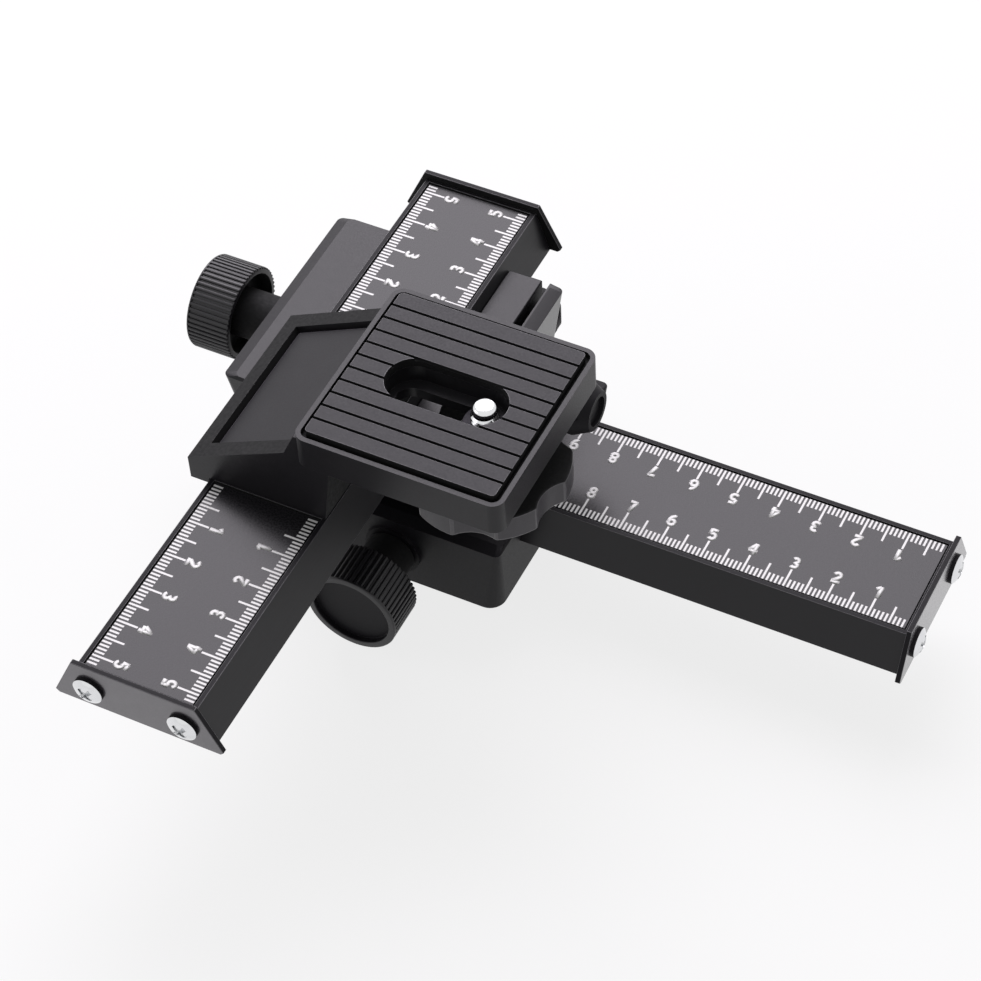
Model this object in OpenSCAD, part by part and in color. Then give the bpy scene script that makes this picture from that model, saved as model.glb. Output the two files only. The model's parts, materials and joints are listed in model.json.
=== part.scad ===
// Two-axis macro focusing rail: two identical stages stacked crosswise.
// Each stage is a carriage in which a graduated dovetail rail slides, driven
// by a rack and pinion from a ribbed focus knob and clamped by a lock knob.
// The lower rail runs along X and carries the upper carriage. The upper rail
// runs along Y and carries the camera platform with its captive screw.
// Origin: the mouth of the tripod socket, in the middle of the base. +Z is up.

/* [Stage] */
// Height from the bottom of a carriage to the top of its rail
stage_h = 29.1; // [28:0.1:34]
// Length of a carriage along its rail, at its top
carriage_len = 56; // [50:1:66]
// Width of a carriage across its rail, at its top
carriage_w = 59; // [57:1:66]
// How far the cheeks of a carriage end below the top of the rail
cheek_drop = 3; // [2:0.5:4]
// Draft of the carriage walls, in degrees
carriage_draft = 5.5; // [2:0.5:6]
// Radius of the carriage corners at the top, seen from above
carriage_corner = 1.5; // [1:0.5:4]
// Radius of the carriage corners at the bottom
bottom_corner = 4; // [2:0.5:6]
// Width of the bevel round the bottom of a carriage
bottom_bevel = 2; // [1:0.5:3]
// Width of the bevel along the outer top edge of each cheek
cheek_bevel = 3; // [1:0.5:3]
// Running clearance between a rail and its guides
run_gap = 0.1; // [0.05:0.05:0.2]

/* [Rails] */
// Length of a rail, without its end plates
rail_len = 159; // [140:1:200]
// Width of the top of a rail
rail_top_w = 28.8; // [28:0.2:30]
// Height of a rail
rail_h = 10.6; // [10:0.1:12]
// Lean of the rail sides from the vertical, in degrees
rail_lean = 17.3; // [14:0.5:20]
// Where the middle of the lower rail stands, along X
lower_rail_x = 40.7; // [30:0.5:44]
// Where the middle of the upper rail stands, along Y
upper_rail_y = -35.4; // [-44:0.5:-30]
// Gap between the upper carriage and the left end plate, at the bottom
carriage_end_gap = 0.15; // [0.1:0.05:1]

/* [Scales] */
// Width of a scale plate
scale_w = 25.8; // [20:0.2:26.4]
// Thickness of a scale plate
scale_t = 0.4; // [0.3:0.1:0.8]
// Depth of the recess that a scale plate lies in
scale_recess = 0.6; // [0.4:0.1:1]
// Gap round a scale plate in its recess
scale_gap = 0.4; // [0.2:0.1:0.5]
// Bare metal between a scale recess and the end of the rail
scale_end = 0.8; // [0.5:0.1:3]

/* [End plates] */
// Thickness of an end plate
plate_t = 1.2; // [1:0.1:2]
// How far an end plate stands above the rail
plate_rise = 1.8; // [0.5:0.1:2.4]
// How far an end plate hangs below the rail
plate_drop = 0.1; // [0:0.1:1.5]
// Width of the top edge of an end plate
plate_top_w = 29.8; // [28:0.2:31]
// Width of the bottom edge of an end plate
plate_bottom_w = 40.8; // [38:0.2:43]
// Bevel of the lower tips of an end plate
plate_tip = 0.8; // [0.4:0.1:1.2]
// Distance between the two screws of an end plate
plate_screw_pitch = 22.8; // [18:0.2:24]
// Radius of the end screw heads
pan_r = 3.5; // [3:0.1:4]
// Height of the end screw heads
pan_h = 2; // [1.5:0.1:2.6]
// Radius of the end screw threads
pan_thread_r = 1.5; // [1.25:0.05:2]
// How deep the end screws go into the rail
pan_depth = 7; // [5:0.5:7]

/* [Rack and pinion] */
// Gear module
gear_module = 0.8; // [0.7:0.05:0.85]
// Number of teeth on the pinion
pinion_teeth = 12; // [11:1:12]
// Pressure angle of the teeth, in degrees
pressure = 20; // [18:1:22]
// Backlash at the pitch line
backlash = 0.08; // [0.04:0.01:0.15]
// Width of the rack
rack_w = 6; // [5:0.5:8]
// Metal left above the rack teeth
rack_back = 1.8; // [1.2:0.1:2.5]
// How far the rack is sunk below the underside of the rail
rack_sink = 0.3; // [0.05:0.05:0.5]
// Radius of the pinion shaft
shaft_r = 2; // [1.5:0.1:2.4]
// Wall of the shaft bushes
bush_wall = 1.2; // [0.8:0.1:1.3]
// Length of the outer bush
bush_outer_len = 12; // [8:1:16]
// Length of the inner bush
bush_inner_len = 8; // [6:1:10]
// Radial play of the shaft in its bushes
shaft_gap = 0.04; // [0.02:0.01:0.08]

/* [Focus knob] */
// Outer radius of a focus knob
knob_r = 11.4; // [10:0.1:13]
// Length of the ribbed part of a focus knob
knob_len = 11; // [9:0.5:14]
// Distance of the knob face from the middle of the carriage
knob_reach = 50; // [46:0.5:56]
// Number of ribs round a focus knob
knob_ribs = 40; // [30:1:48]
// Depth of the grooves between the ribs
rib_depth = 0.6; // [0.3:0.1:0.8]
// Width of the rim round the knob face
knob_rim = 1.4; // [1:0.1:2]
// Depth of the hollow inside the rim
knob_hollow = 2.6; // [2:0.1:3.5]
// Thickness of the disc in the knob face
cap_t = 1; // [0.8:0.1:1.5]
// Radius of the hub behind a focus knob
hub_r = 6; // [5:0.5:7]
// Radius of the boss on the carriage that the hub turns against
boss_r = 7; // [6:0.5:8]
// Height of that boss above the carriage wall
boss_h = 1.2; // [0.8:0.1:2]
// Gap between the hub and the boss
hub_gap = 0.3; // [0.2:0.1:0.5]
// Radius of the hub's set screw
set_screw_r = 1.5; // [1:0.25:2]

/* [Gib and lock] */
// Thickness of the wall that the lock screw runs in, at its top
lock_wall = 3.5; // [3:0.5:4.5]
// Gap between the gib and that wall
gib_slot = 2; // [1.5:0.1:2.5]
// How far the lock screw is below the top of the rail
lock_drop = 8; // [7:0.2:8]
// Radius of the lock screw
lock_screw_r = 2.45; // [2:0.05:2.5]
// Play round the lock screw in its hole
lock_play = 0.05; // [0.02:0.01:0.08]
// How deep the tip of the lock screw sits in the gib
lock_tip = 1.5; // [1:0.1:2]
// Outer radius of a lock knob
lock_knob_r = 6.8; // [6:0.2:7]
// Length of the lobed part of a lock knob
lock_knob_len = 12; // [9:0.5:14]
// Radius of the lock knob's outer face
lock_face_r = 4.8; // [4.2:0.1:5.5]
// Length of the taper behind that face
lock_taper = 4; // [2:0.5:6]
// Distance of the lock knob's face from the middle of the carriage
lock_reach = 50.9; // [48:0.5:56]
// Number of lobes on a lock knob
lock_lobes = 8; // [6:1:9]

/* [Fixing screws] */
// Thread radius of the screws that join carriage, rail and platform
cap_thread_r = 2; // [1.5:0.1:2]
// Head radius of these screws
cap_head_r = 3.5; // [3:0.1:3.5]
// Head height of these screws
cap_head_h = 4; // [3:0.1:4]
// Depth of their thread in the part that they hold
cap_grip = 7; // [5:0.5:7.5]
// How far their heads are sunk below the underside of the rail
cap_sink = 0.3; // [0.2:0.1:1]
// Play round the shanks and heads in the rail
cap_play = 0.15; // [0.1:0.05:0.3]

/* [Tripod socket] */
// Radius of the socket, for a quarter-inch tripod screw
socket_r = 3.175; // [3.1:0.025:3.3]
// Depth of the socket
socket_depth = 7; // [6:0.5:7.5]
// Outer radius of the threaded insert
insert_r = 5; // [4.5:0.1:6]

/* [Camera platform] */
// Length of the deck along X
deck_len = 48.9; // [46:0.1:52]
// Width of the deck along Y
deck_w = 48.4; // [46:0.2:52]
// Where the deck starts, from the middle of the rail
deck_x = 8.6; // [8:0.2:10]
// Width of the foot under the deck, along Y
foot_w = 46.6; // [44:0.2:47]
// Height of the deck's rim above the rail
deck_z = 25.2; // [24:0.2:28]
// Depth of the skirt round the deck
skirt_h = 8.5; // [7.5:0.1:9]
// Thickness of the skirt
skirt_t = 2.4; // [1.8:0.1:3]
// Radius of the deck corners
deck_corner = 3; // [2:0.5:5]
// Left end of the sloping front, from the middle of the rail
slope_x = -19.6; // [-22:0.2:-18]
// Height of the slope at its left end, above the rail
slope_low = 4.6; // [4:0.1:6]
// Where the slope turns up to the deck, from the middle of the rail
slope_end = 5.7; // [4:0.1:7]
// Height of the slope at that turn, above the rail
slope_high = 17.8; // [17:0.2:19]
// How far the lip of the deck stands over the slope
deck_lip = 1; // [0.5:0.1:2]
// How far the front skirt hangs below the top of the rail
front_drop = 1.8; // [0.5:0.1:2]
// Thickness of the sloping wall
slope_t = 3.4; // [2.8:0.1:4]
// Right side of the platform's foot, from the middle of the rail
foot_right = 14.2; // [13:0.1:14.2]
// How far the right side of the foot leans out, from the rail to the deck
foot_lean = 2.3; // [0:0.1:2.4]
// Thickness of the foot's walls
foot_wall = 3; // [2.4:0.1:3.5]
// Margin between the blank front panel and the edges of the slope
panel_margin = 4.2; // [3:0.2:6]
// How far the panel lies below the slope around it
panel_sink = 1.2; // [0.6:0.1:1.4]
// Gap round the panel
panel_gap = 0.6; // [0.3:0.1:0.8]
// Thickness of the blank front panel
panel_t = 0.8; // [0.6:0.1:1.2]

/* [Rubber pad] */
// Thickness of the rubber pad
pad_t = 2.4; // [2:0.1:2.8]
// How far the pad stands above the deck's rim
pad_rise = 0.9; // [0.3:0.1:1.1]
// Width of the rim round the pad
rim_w = 1.1; // [0.8:0.1:2]
// Gap between the rim and the pad
pad_gap = 1; // [0.5:0.1:1.6]
// Distance from groove to groove in the pad
groove_pitch = 4; // [3:0.1:5]
// Width of the grooves in the pad
groove_w = 0.6; // [0.4:0.1:1]
// Depth of the grooves in the pad
groove_depth = 0.8; // [0.4:0.1:1]

/* [Camera screw] */
// Where the middle of the recess and its slot is, from the middle of the rail
recess_x = 33.1; // [32:0.1:34]
// Length of the round-ended recess for the camera screw
recess_len = 28.3; // [28:0.1:32]
// Width of that recess
recess_w = 12.4; // [12:0.2:15]
// Height of the recess floor above the rail
recess_z = 19.4; // [19:0.1:20]
// Length of the slot in the recess floor
slot_len = 24.9; // [24:0.1:26]
// Play between the camera screw and the sides of its slot
slot_play = 0.22; // [0.1:0.02:0.4]
// Radius of the camera screw's thread, a quarter inch across
camera_screw_r = 3.175; // [3.1:0.025:3.2]
// How far the tip of the camera screw stands above the deck's rim, at rest
screw_rise = 0.6; // [0.2:0.1:2]
// How far the camera screw can be lifted towards the camera
screw_lift = 4; // [2:0.5:4.5]
// Where the camera screw stands, from the middle of the rail
screw_x = 42.1; // [36:0.1:42.1]
// Radius of the thumb wheel
wheel_r = 18.2; // [17:0.1:18.4]
// Thickness of the thumb wheel
wheel_t = 6.9; // [5:0.1:8]
// Height of the wheel's underside above the rail
wheel_z = 2.8; // [1:0.1:3.5]
// Number of scallops in the thumb wheel
wheel_scallops = 6; // [5:1:8]
// Radius of each scallop
scallop_r = 8; // [7:0.5:10]
// Turn of the first scallop from +X, in degrees
scallop_turn = -14; // [-45:1:45]
// Thickness of the washer under the deck
washer_t = 1.1; // [0.8:0.1:1.5]
// Outer radius of that washer
washer_r = 7; // [6:0.5:8]
// Radius of the retaining clip
clip_r = 5; // [4.5:0.1:5.5]
// Thickness of the retaining clip
clip_t = 0.8; // [0.6:0.1:1]

/* [Hidden] */
$fn = 64;

// Overshoot of a cut past the face that it opens
cut = 1;
// Play of a piece that is pressed or screwed into another for good
fit_gap = 0.02;
// Where two pieces on different bodies all but touch
near_gap = 0.2;

// Rail and carriage
lean = tan(rail_lean);
rail_z = stage_h - rail_h;
floor_z = rail_z - run_gap;
cheek_z = stage_h - cheek_drop;
run_side = run_gap / cos(rail_lean);
draft_in = tan(carriage_draft);
function rail_half(z) = rail_top_w / 2 + (stage_h - z) * lean;
function wall_half(z) = carriage_w / 2 - (cheek_z - z) * draft_in;
function end_half(z) = carriage_len / 2 - (cheek_z - z) * draft_in;
gib_wall_y = carriage_w / 2 - lock_wall;
gib_out_y = gib_wall_y - gib_slot;
// How far the top of a carriage is drawn in at its two ends
top_ease = 0.4;

// Rack and pinion
pitch_r = gear_module * pinion_teeth / 2;
base_r = pitch_r * cos(pressure);
pinion_add = gear_module;
rack_add = 0.97 * pitch_r * pow(sin(pressure), 2);
root_gap = 0.12 * gear_module;
mesh_gap = 0.02;
// The pinion is narrower than the groove that holds the rack
pinion_w = rack_w - 0.6;
tip_r = pitch_r + pinion_add;
root_r = pitch_r - rack_add - 4 * root_gap;
rack_tip_z = rail_z + rack_sink;
pitch_z = rack_tip_z + rack_add;
rack_root_z = pitch_z + pinion_add + root_gap;
rack_top_z = rack_root_z + rack_back;
axis_z = pitch_z - pitch_r - mesh_gap;
tooth_pitch = PI * gear_module;
tip_roll = sqrt(pow(tip_r / base_r, 2) - 1) * 180 / PI;
flank_steps = 5;

// Bushes, shaft and knob, along the axis that crosses the carriage
bush_r = shaft_r + bush_wall;
pocket_half = pinion_w / 2 + 0.5;
pocket_r = tip_r + 0.4;
boss_face = wall_half(axis_z) + boss_h;
inner_bush_start = pocket_half + 0.5;
inner_bush_end = inner_bush_start + bush_inner_len;
knob_back = knob_reach - knob_len;
hub_end = boss_face + hub_gap;
shaft_out = knob_reach - knob_hollow;
shaft_in = inner_bush_end - near_gap;
set_screw_y = (knob_back + hub_end) / 2;

// Lock screw and knob
lock_z = stage_h - lock_drop;
lock_wall_out = wall_half(lock_z);
lock_knob_back = lock_reach - lock_knob_len;
lock_neck_r = lock_screw_r + 2.2;
lock_neck_start = lock_wall_out + 1.4;
lock_tip_y = gib_out_y - lock_tip + near_gap;
lock_dish_r = lock_face_r - 1.2;
lock_dish_depth = 1;
lock_stud_end = lock_reach - lock_dish_depth - 2;

// Fixing screws
cap_hole_r = cap_thread_r + cap_play;
cap_sink_depth = cap_head_h + cap_sink;
hex_r = 0.86 * cap_thread_r;
hex_depth = 2.2;
carriage_screw_x = 15;
carriage_screw_y = 10;

// Cross recess and crown of the end screws
cross_w = 0.8;
cross_len = 1.1 * pan_r;
cross_depth = 0.6 * pan_h;
crown_r = 0.7 * (pan_r * pan_r + pan_h * pan_h) / pan_h;

// Stations of the upper stage
upper_x = lower_rail_x - rail_len / 2 + wall_half(0) + carriage_end_gap;
rail_top_z = 2 * stage_h;

// Platform, measured from the middle of the upper rail's top
deck_end = deck_x + deck_len;
deck_mid = deck_x + deck_len / 2;
foot_half = foot_w / 2;
skirt_z = deck_z - skirt_h;
pad_floor = deck_z + pad_rise - pad_t;
pad_inset = rim_w + pad_gap;
slope = (slope_high - slope_low) / (slope_end - slope_x);
slope_angle = atan(slope);
slot_w = 2 * (camera_screw_r + slot_play);
boss_margin = 3;
front_gap = 0.3;
front_rail_gap = rail_top_w / 2 + front_gap;
// The hollow's roof keeps this much more metal under the deck
hollow_roof = 3.2;
foot_screw_x = 9;
foot_screw_y = 15;
foot_boss_r = 4.6;
tip_bevel = 0.8;
screw_top = deck_z + screw_rise;
clip_z = recess_z + near_gap;
washer_z = skirt_z - near_gap - washer_t;
wheel_top = wheel_z + wheel_t;
hub_top = washer_z - near_gap - screw_lift;
shank_r = camera_screw_r - 0.2;

black = "#232225";
satin = "#3a393c";
print_grey = "#5e5c60";
brass = "#b08d4c";
steel = "#9a9ca0";
chrome = "#d5d7da";
plastic = "#1c1b1d";
rubber = "#191919";

// ---- placing ----

// A stage's own frame has its rail along X, its knob towards -Y and its lock
// towards +Y. The upper stage is the same, turned a quarter turn.
module in_upper() translate([upper_x, 0, stage_h]) rotate(-90) children();
module on_platform() translate([upper_x, upper_rail_y, rail_top_z]) children();
// Turns a solid along +Z so that it runs along +Y
module along_y() rotate([-90, 0, 0]) children();
// Turns a flat outline in (Y, Z) so that it is extruded along X, from x0 to x1
module extrude_x(x0, x1)
    translate([x0, 0, 0]) rotate([90, 0, 90]) linear_extrude(x1 - x0) children();
// Turns a flat outline in (X, Z) so that it is extruded along Y, from y0 to y1
module extrude_y(y0, y1)
    translate([0, y1, 0]) rotate([90, 0, 0]) linear_extrude(y1 - y0) children();

module round_rect(len, wid, r) {
    square([len - 2 * r, wid], center = true);
    square([len, wid - 2 * r], center = true);
    for (sx = [-1, 1], sy = [-1, 1])
        translate([sx * (len / 2 - r), sy * (wid / 2 - r)]) circle(r);
}

module obround(len, wid) {
    square([len - wid, wid], center = true);
    for (sx = [-1, 1]) translate([sx * (len - wid) / 2, 0]) circle(wid / 2);
}

// ---- carriage ----

// One level of the carriage outline, drawn in from the drafted walls
module level(z, in_x, in_y, corner)
    translate([0, 0, z]) linear_extrude(0.01)
        round_rect(2 * (end_half(z) - in_x), 2 * (wall_half(z) - in_y), corner, $fn = 32);

module channel_outline() {
    top = cheek_z + cut;
    left_low = -rail_half(floor_z) - run_side;
    left_top = -rail_half(top) - run_side;
    polygon([[left_low, floor_z], [gib_wall_y, floor_z], [gib_wall_y, top], [left_top, top]]);
}

module carriage_body() {
    difference() {
        union() {
            hull() {
                level(0, bottom_bevel, bottom_bevel, bottom_corner);
                level(bottom_bevel, 0, 0, bottom_corner);
                level(cheek_z - cheek_bevel / 3, 0, 0, carriage_corner);
                level(cheek_z - 0.01, top_ease, cheek_bevel, carriage_corner);
            }
            translate([0, -boss_face, axis_z]) along_y()
                cylinder(r = boss_r, h = boss_face - wall_half(0) + 4);
        }
        extrude_x(-carriage_len, carriage_len) channel_outline();
        // bore for both bushes, open on the knob side
        translate([0, -boss_face - cut, axis_z]) along_y()
            cylinder(r = bush_r + fit_gap, h = boss_face + cut + inner_bush_end + near_gap);
        // pocket that the pinion drops into
        translate([0, -pocket_half, axis_z]) along_y() cylinder(r = pocket_r, h = 2 * pocket_half);
        translate([-pocket_r, -pocket_half, axis_z])
            cube([2 * pocket_r, 2 * pocket_half, cheek_z - axis_z]);
        // tapped hole of the lock screw
        translate([0, gib_wall_y - cut, lock_z]) along_y()
            cylinder(r = lock_screw_r + lock_play, h = lock_wall + 2 * cut);
    }
}

module gib_body() {
    inner_low = rail_half(floor_z) + run_side;
    inner_top = rail_half(cheek_z) + run_side;
    difference() {
        intersection() {
            extrude_x(-carriage_len, carriage_len)
                polygon([[inner_low, floor_z], [gib_out_y, floor_z],
                         [gib_out_y, cheek_z], [inner_top, cheek_z]]);
            // its ends follow the draft of the carriage
            extrude_y(0, carriage_w) polygon([
                [-end_half(floor_z), floor_z], [end_half(floor_z), floor_z],
                [end_half(cheek_z) - top_ease, cheek_z], [top_ease - end_half(cheek_z), cheek_z]]);
        }
        translate([0, gib_out_y - lock_tip, lock_z]) along_y()
            cylinder(r = lock_screw_r + near_gap, h = lock_tip + cut);
    }
}

module bush(len) {
    along_y() difference() {
        cylinder(r = bush_r, h = len);
        translate([0, 0, -cut]) cylinder(r = shaft_r + shaft_gap, h = len + 2 * cut);
    }
}

module bush_pair() {
    translate([0, -boss_face, axis_z]) bush(bush_outer_len);
    translate([0, inner_bush_start, axis_z]) bush(bush_inner_len);
}

// ---- rack and pinion ----

function polar(r, a) = [r * cos(a), r * sin(a)];
// Angle between the middle of a tooth and its flank, at a roll angle t
half_tooth = 90 / pinion_teeth - backlash / 2 / pitch_r * 90 / PI
             + tan(pressure) * 180 / PI - pressure;
function flank_r(t) = base_r * sqrt(1 + pow(t * PI / 180, 2));
function flank_a(t) = half_tooth - (t - atan(t * PI / 180));

function tooth(mid) = concat(
    [polar(root_r, mid - half_tooth)],
    [for (k = [0:flank_steps]) let (t = tip_roll * k / flank_steps)
        polar(flank_r(t), mid - flank_a(t))],
    [for (k = [flank_steps:-1:0]) let (t = tip_roll * k / flank_steps)
        polar(flank_r(t), mid + flank_a(t))],
    [polar(root_r, mid + half_tooth)]);

module pinion_gear() {
    // a tooth points straight up at rest, between two teeth of the rack
    translate([0, -pinion_w / 2, axis_z]) along_y() difference() {
        linear_extrude(pinion_w)
            polygon([for (i = [0:pinion_teeth - 1]) each tooth(-90 + i * 360 / pinion_teeth)]);
        translate([0, 0, -cut]) cylinder(r = shaft_r + fit_gap, h = pinion_w + 2 * cut);
    }
}

// The rack's outline in (X, Z). mid is the middle of its rail.
module rack_outline(mid) {
    half_gap_pitch = tooth_pitch / 4 + backlash / 4;
    flare = tan(pressure);
    tip_half = tooth_pitch / 2 - half_gap_pitch - rack_add * flare;
    root_half = tooth_pitch / 2 - half_gap_pitch + (rack_root_z - pitch_z) * flare;
    x0 = mid - rail_len / 2 + 1;
    x1 = mid + rail_len / 2 - 1;
    first = ceil((x0 + tooth_pitch / 2) / tooth_pitch);
    last = floor((x1 - tooth_pitch / 2) / tooth_pitch) - 1;
    teeth = [for (i = [first:last]) let (c = (i + 0.5) * tooth_pitch)
        each [[c - root_half, rack_root_z], [c - tip_half, rack_tip_z],
              [c + tip_half, rack_tip_z], [c + root_half, rack_root_z]]];
    polygon(concat([[x1, rack_top_z], [x0, rack_top_z], [x0, rack_root_z]],
                   teeth, [[x1, rack_root_z]]));
}

module rack_bar(mid) extrude_y(-rack_w / 2, rack_w / 2) rack_outline(mid);

// ---- rail ----

// Outline in (Y, Z), with the groove that holds the rack
module rail_outline() {
    low = rail_half(rail_z);
    groove = rack_w / 2 + fit_gap;
    groove_z = rack_top_z + fit_gap;
    polygon([[-low, rail_z], [-groove, rail_z], [-groove, groove_z], [groove, groove_z],
             [groove, rail_z], [low, rail_z],
             [rail_top_w / 2, stage_h], [-rail_top_w / 2, stage_h]]);
}

// The two tapped holes in each end of a rail
module end_holes(mid) {
    for (side = [-1, 1], s = [-1, 1])
        translate([mid + s * rail_len / 2, side * plate_screw_pitch / 2, stage_h - rail_h / 2])
            rotate([0, -s * 90, 0]) translate([0, 0, -cut])
                cylinder(r = pan_thread_r + fit_gap, h = pan_depth + cut + near_gap);
}

module scale_cut(x0, x1)
    translate([x0, -scale_w / 2 - scale_gap, stage_h - scale_recess])
        cube([x1 - x0, scale_w + 2 * scale_gap, scale_recess + cut]);

module scale_bar(x0, x1)
    translate([x0 + scale_gap, -scale_w / 2, stage_h - scale_recess])
        cube([x1 - x0 - 2 * scale_gap, scale_w, scale_t]);

// Counterbored hole from the underside of the rail up through its top
module cap_hole() {
    translate([0, 0, rail_z - cut]) cylinder(r = cap_hole_r, h = rail_h + 2 * cut);
    translate([0, 0, rail_z - cut]) cylinder(r = cap_head_r + cap_play, h = cap_sink_depth + cut);
}

module cap_screw() {
    head = rail_z + cap_sink;
    difference() {
        union() {
            translate([0, 0, head]) cylinder(r = cap_head_r, h = cap_head_h);
            translate([0, 0, head]) cylinder(r = cap_thread_r, h = stage_h - head + cap_grip);
        }
        translate([0, 0, head - cut]) cylinder(r = hex_r, h = cut + hex_depth, $fn = 6);
    }
}

module rail_body(mid, scales, screws) {
    difference() {
        extrude_x(mid - rail_len / 2, mid + rail_len / 2) rail_outline();
        end_holes(mid);
        for (s = scales) scale_cut(s[0], s[1]);
        for (p = screws) translate(p) cap_hole();
    }
}

module end_plate(mid, s) {
    face = mid + s * rail_len / 2;
    low = rail_z - plate_drop;
    foot = plate_bottom_w / 2;
    top = plate_top_w / 2;
    difference() {
        extrude_x(min(face, face + s * plate_t), max(face, face + s * plate_t))
            polygon([[plate_tip - foot, low], [foot - plate_tip, low], [foot, low + plate_tip],
                     [top, stage_h + plate_rise], [-top, stage_h + plate_rise], [-foot, low + plate_tip]]);
        for (side = [-1, 1])
            translate([face - cut * s, side * plate_screw_pitch / 2, stage_h - rail_h / 2])
                rotate([0, s * 90, 0]) cylinder(r = pan_thread_r + cap_play, h = plate_t + 2 * cut);
    }
}

// Pan head with a cross recess, pointing along +Z, its thread below
module pan_screw() {
    difference() {
        union() {
            intersection() {
                cylinder(r = pan_r, h = pan_h);
                translate([0, 0, pan_h - crown_r]) sphere(r = crown_r, $fn = 96);
            }
            translate([0, 0, -plate_t - pan_depth]) cylinder(r = pan_thread_r, h = plate_t + pan_depth);
        }
        for (a = [0, 90]) rotate(a) translate([-cross_len / 2, -cross_w / 2, pan_h - cross_depth])
            cube([cross_len, cross_w, cross_depth + cut]);
    }
}

module end_screw_set(mid) {
    for (s = [-1, 1], side = [-1, 1])
        translate([mid + s * (rail_len / 2 + plate_t), side * plate_screw_pitch / 2,
                   stage_h - rail_h / 2])
            rotate([0, s * 90, 0]) rotate(45) pan_screw();
}

// ---- focus knob ----

module ribbed_outline() {
    step = 360 / knob_ribs;
    polygon([for (i = [0:knob_ribs - 1]) each [
        polar(knob_r - rib_depth, (i - 0.22) * step), polar(knob_r, (i + 0.02) * step),
        polar(knob_r, (i + 0.34) * step), polar(knob_r - rib_depth, (i + 0.58) * step)]]);
}

module focus_shaft()
    translate([0, -shaft_out, axis_z]) along_y() cylinder(r = shaft_r, h = shaft_out + shaft_in);

module focus_knob() {
    inner = knob_r - rib_depth - knob_rim;
    translate([0, -knob_reach, axis_z]) along_y() difference() {
        union() {
            translate([0, 0, 0.6]) linear_extrude(knob_len - 1.2) ribbed_outline();
            cylinder(r = knob_r - rib_depth - 0.1, h = knob_len);
            cylinder(r = hub_r, h = knob_reach - hub_end);
        }
        translate([0, 0, -cut]) cylinder(r = inner, h = knob_hollow + cut);
        cylinder(r = shaft_r + fit_gap, h = knob_reach);
        translate([0, 0, knob_reach - set_screw_y]) rotate([90, 0, 0]) mirror([0, 0, 1])
            cylinder(r = set_screw_r + fit_gap, h = hub_r + cut);
    }
}

module knob_disc() {
    inner = knob_r - rib_depth - knob_rim;
    translate([0, -knob_reach + knob_hollow - cap_t, axis_z]) along_y()
        cylinder(r = inner - fit_gap, h = cap_t - fit_gap);
}

module set_screw()
    translate([0, -set_screw_y, axis_z - hub_r + 0.3])
        cylinder(r = set_screw_r, h = hub_r - 0.3 - shaft_r - fit_gap);

// ---- lock ----

module lock_stud()
    translate([0, lock_tip_y, lock_z]) along_y()
        cylinder(r = lock_screw_r, h = lock_stud_end - lock_tip_y);

module lock_knob_body() {
    groove_at = lock_knob_r * 1.12;
    groove_r = lock_knob_r * 0.26;
    straight = lock_knob_len - lock_taper;
    translate([0, 0, lock_z]) difference() {
        union() {
            translate([0, lock_knob_back, 0]) along_y() difference() {
                union() {
                    cylinder(r = lock_knob_r, h = straight);
                    translate([0, 0, straight])
                        cylinder(r1 = lock_knob_r, r2 = lock_face_r, h = lock_taper);
                }
                for (i = [0:lock_lobes - 1])
                    rotate(90 + (i + 0.5) * 360 / lock_lobes) translate([groove_at, 0, -cut])
                        cylinder(r = groove_r, h = lock_knob_len + 2 * cut);
            }
            translate([0, lock_neck_start, 0]) along_y()
                cylinder(r = lock_neck_r, h = lock_knob_back - lock_neck_start + 1);
        }
        translate([0, lock_reach - lock_dish_depth, 0]) along_y()
            cylinder(r = lock_dish_r, h = lock_dish_depth + cut);
        translate([0, lock_neck_start - cut, 0]) along_y()
            cylinder(r = lock_screw_r + fit_gap, h = lock_stud_end - lock_neck_start + cut + fit_gap);
    }
}

// ---- lower stage ----

lower_scale_x0 = upper_x + wall_half(0) + carriage_end_gap;
lower_scale_x1 = lower_rail_x + rail_len / 2 - scale_end;
lower_scales = [[lower_scale_x0, lower_scale_x1]];
lower_screws = [for (sx = [-1, 1], sy = [-1, 1])
    [upper_x + sx * carriage_screw_x, sy * carriage_screw_y, 0]];

module base_carriage() color(black) difference() {
    carriage_body();
    translate([0, 0, -cut]) cylinder(r = insert_r + fit_gap, h = socket_depth + cut + fit_gap);
}
module tripod_insert() color(brass) difference() {
    cylinder(r = insert_r, h = socket_depth);
    translate([0, 0, -cut]) cylinder(r = socket_r, h = socket_depth + 2 * cut);
}
module base_gib() color(satin) gib_body();
module base_bushes() color(brass) bush_pair();
module lower_shaft() color(steel) focus_shaft();
module lower_pinion() color(brass) pinion_gear();
module lower_focus_knob() color(plastic) focus_knob();
module lower_knob_disc() color(plastic) knob_disc();
module lower_set_screw() color(steel) set_screw();
module lower_lock_screw() color(steel) lock_stud();
module lower_lock_knob() color(plastic) lock_knob_body();
module lower_rail() color(satin) rail_body(lower_rail_x, lower_scales, lower_screws);
module lower_rack() color(steel) rack_bar(lower_rail_x);
module lower_scale() color(print_grey) scale_bar(lower_scale_x0, lower_scale_x1);
module lower_end_plate_left() color(black) end_plate(lower_rail_x, -1);
module lower_end_plate_right() color(black) end_plate(lower_rail_x, 1);
module lower_end_screws() color(chrome) end_screw_set(lower_rail_x);

// ---- upper stage ----

// In the turned frame the camera's side of the object is towards +X
upper_mid = -upper_rail_y;
upper_scales = [[upper_mid + foot_half + near_gap, upper_mid + rail_len / 2 - scale_end],
                [upper_mid - rail_len / 2 + scale_end, upper_mid - foot_half - near_gap]];
upper_screws = [for (sx = [-1, 1], sy = [-1, 1])
    [upper_mid + sx * foot_screw_y, sy * foot_screw_x, 0]];

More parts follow.
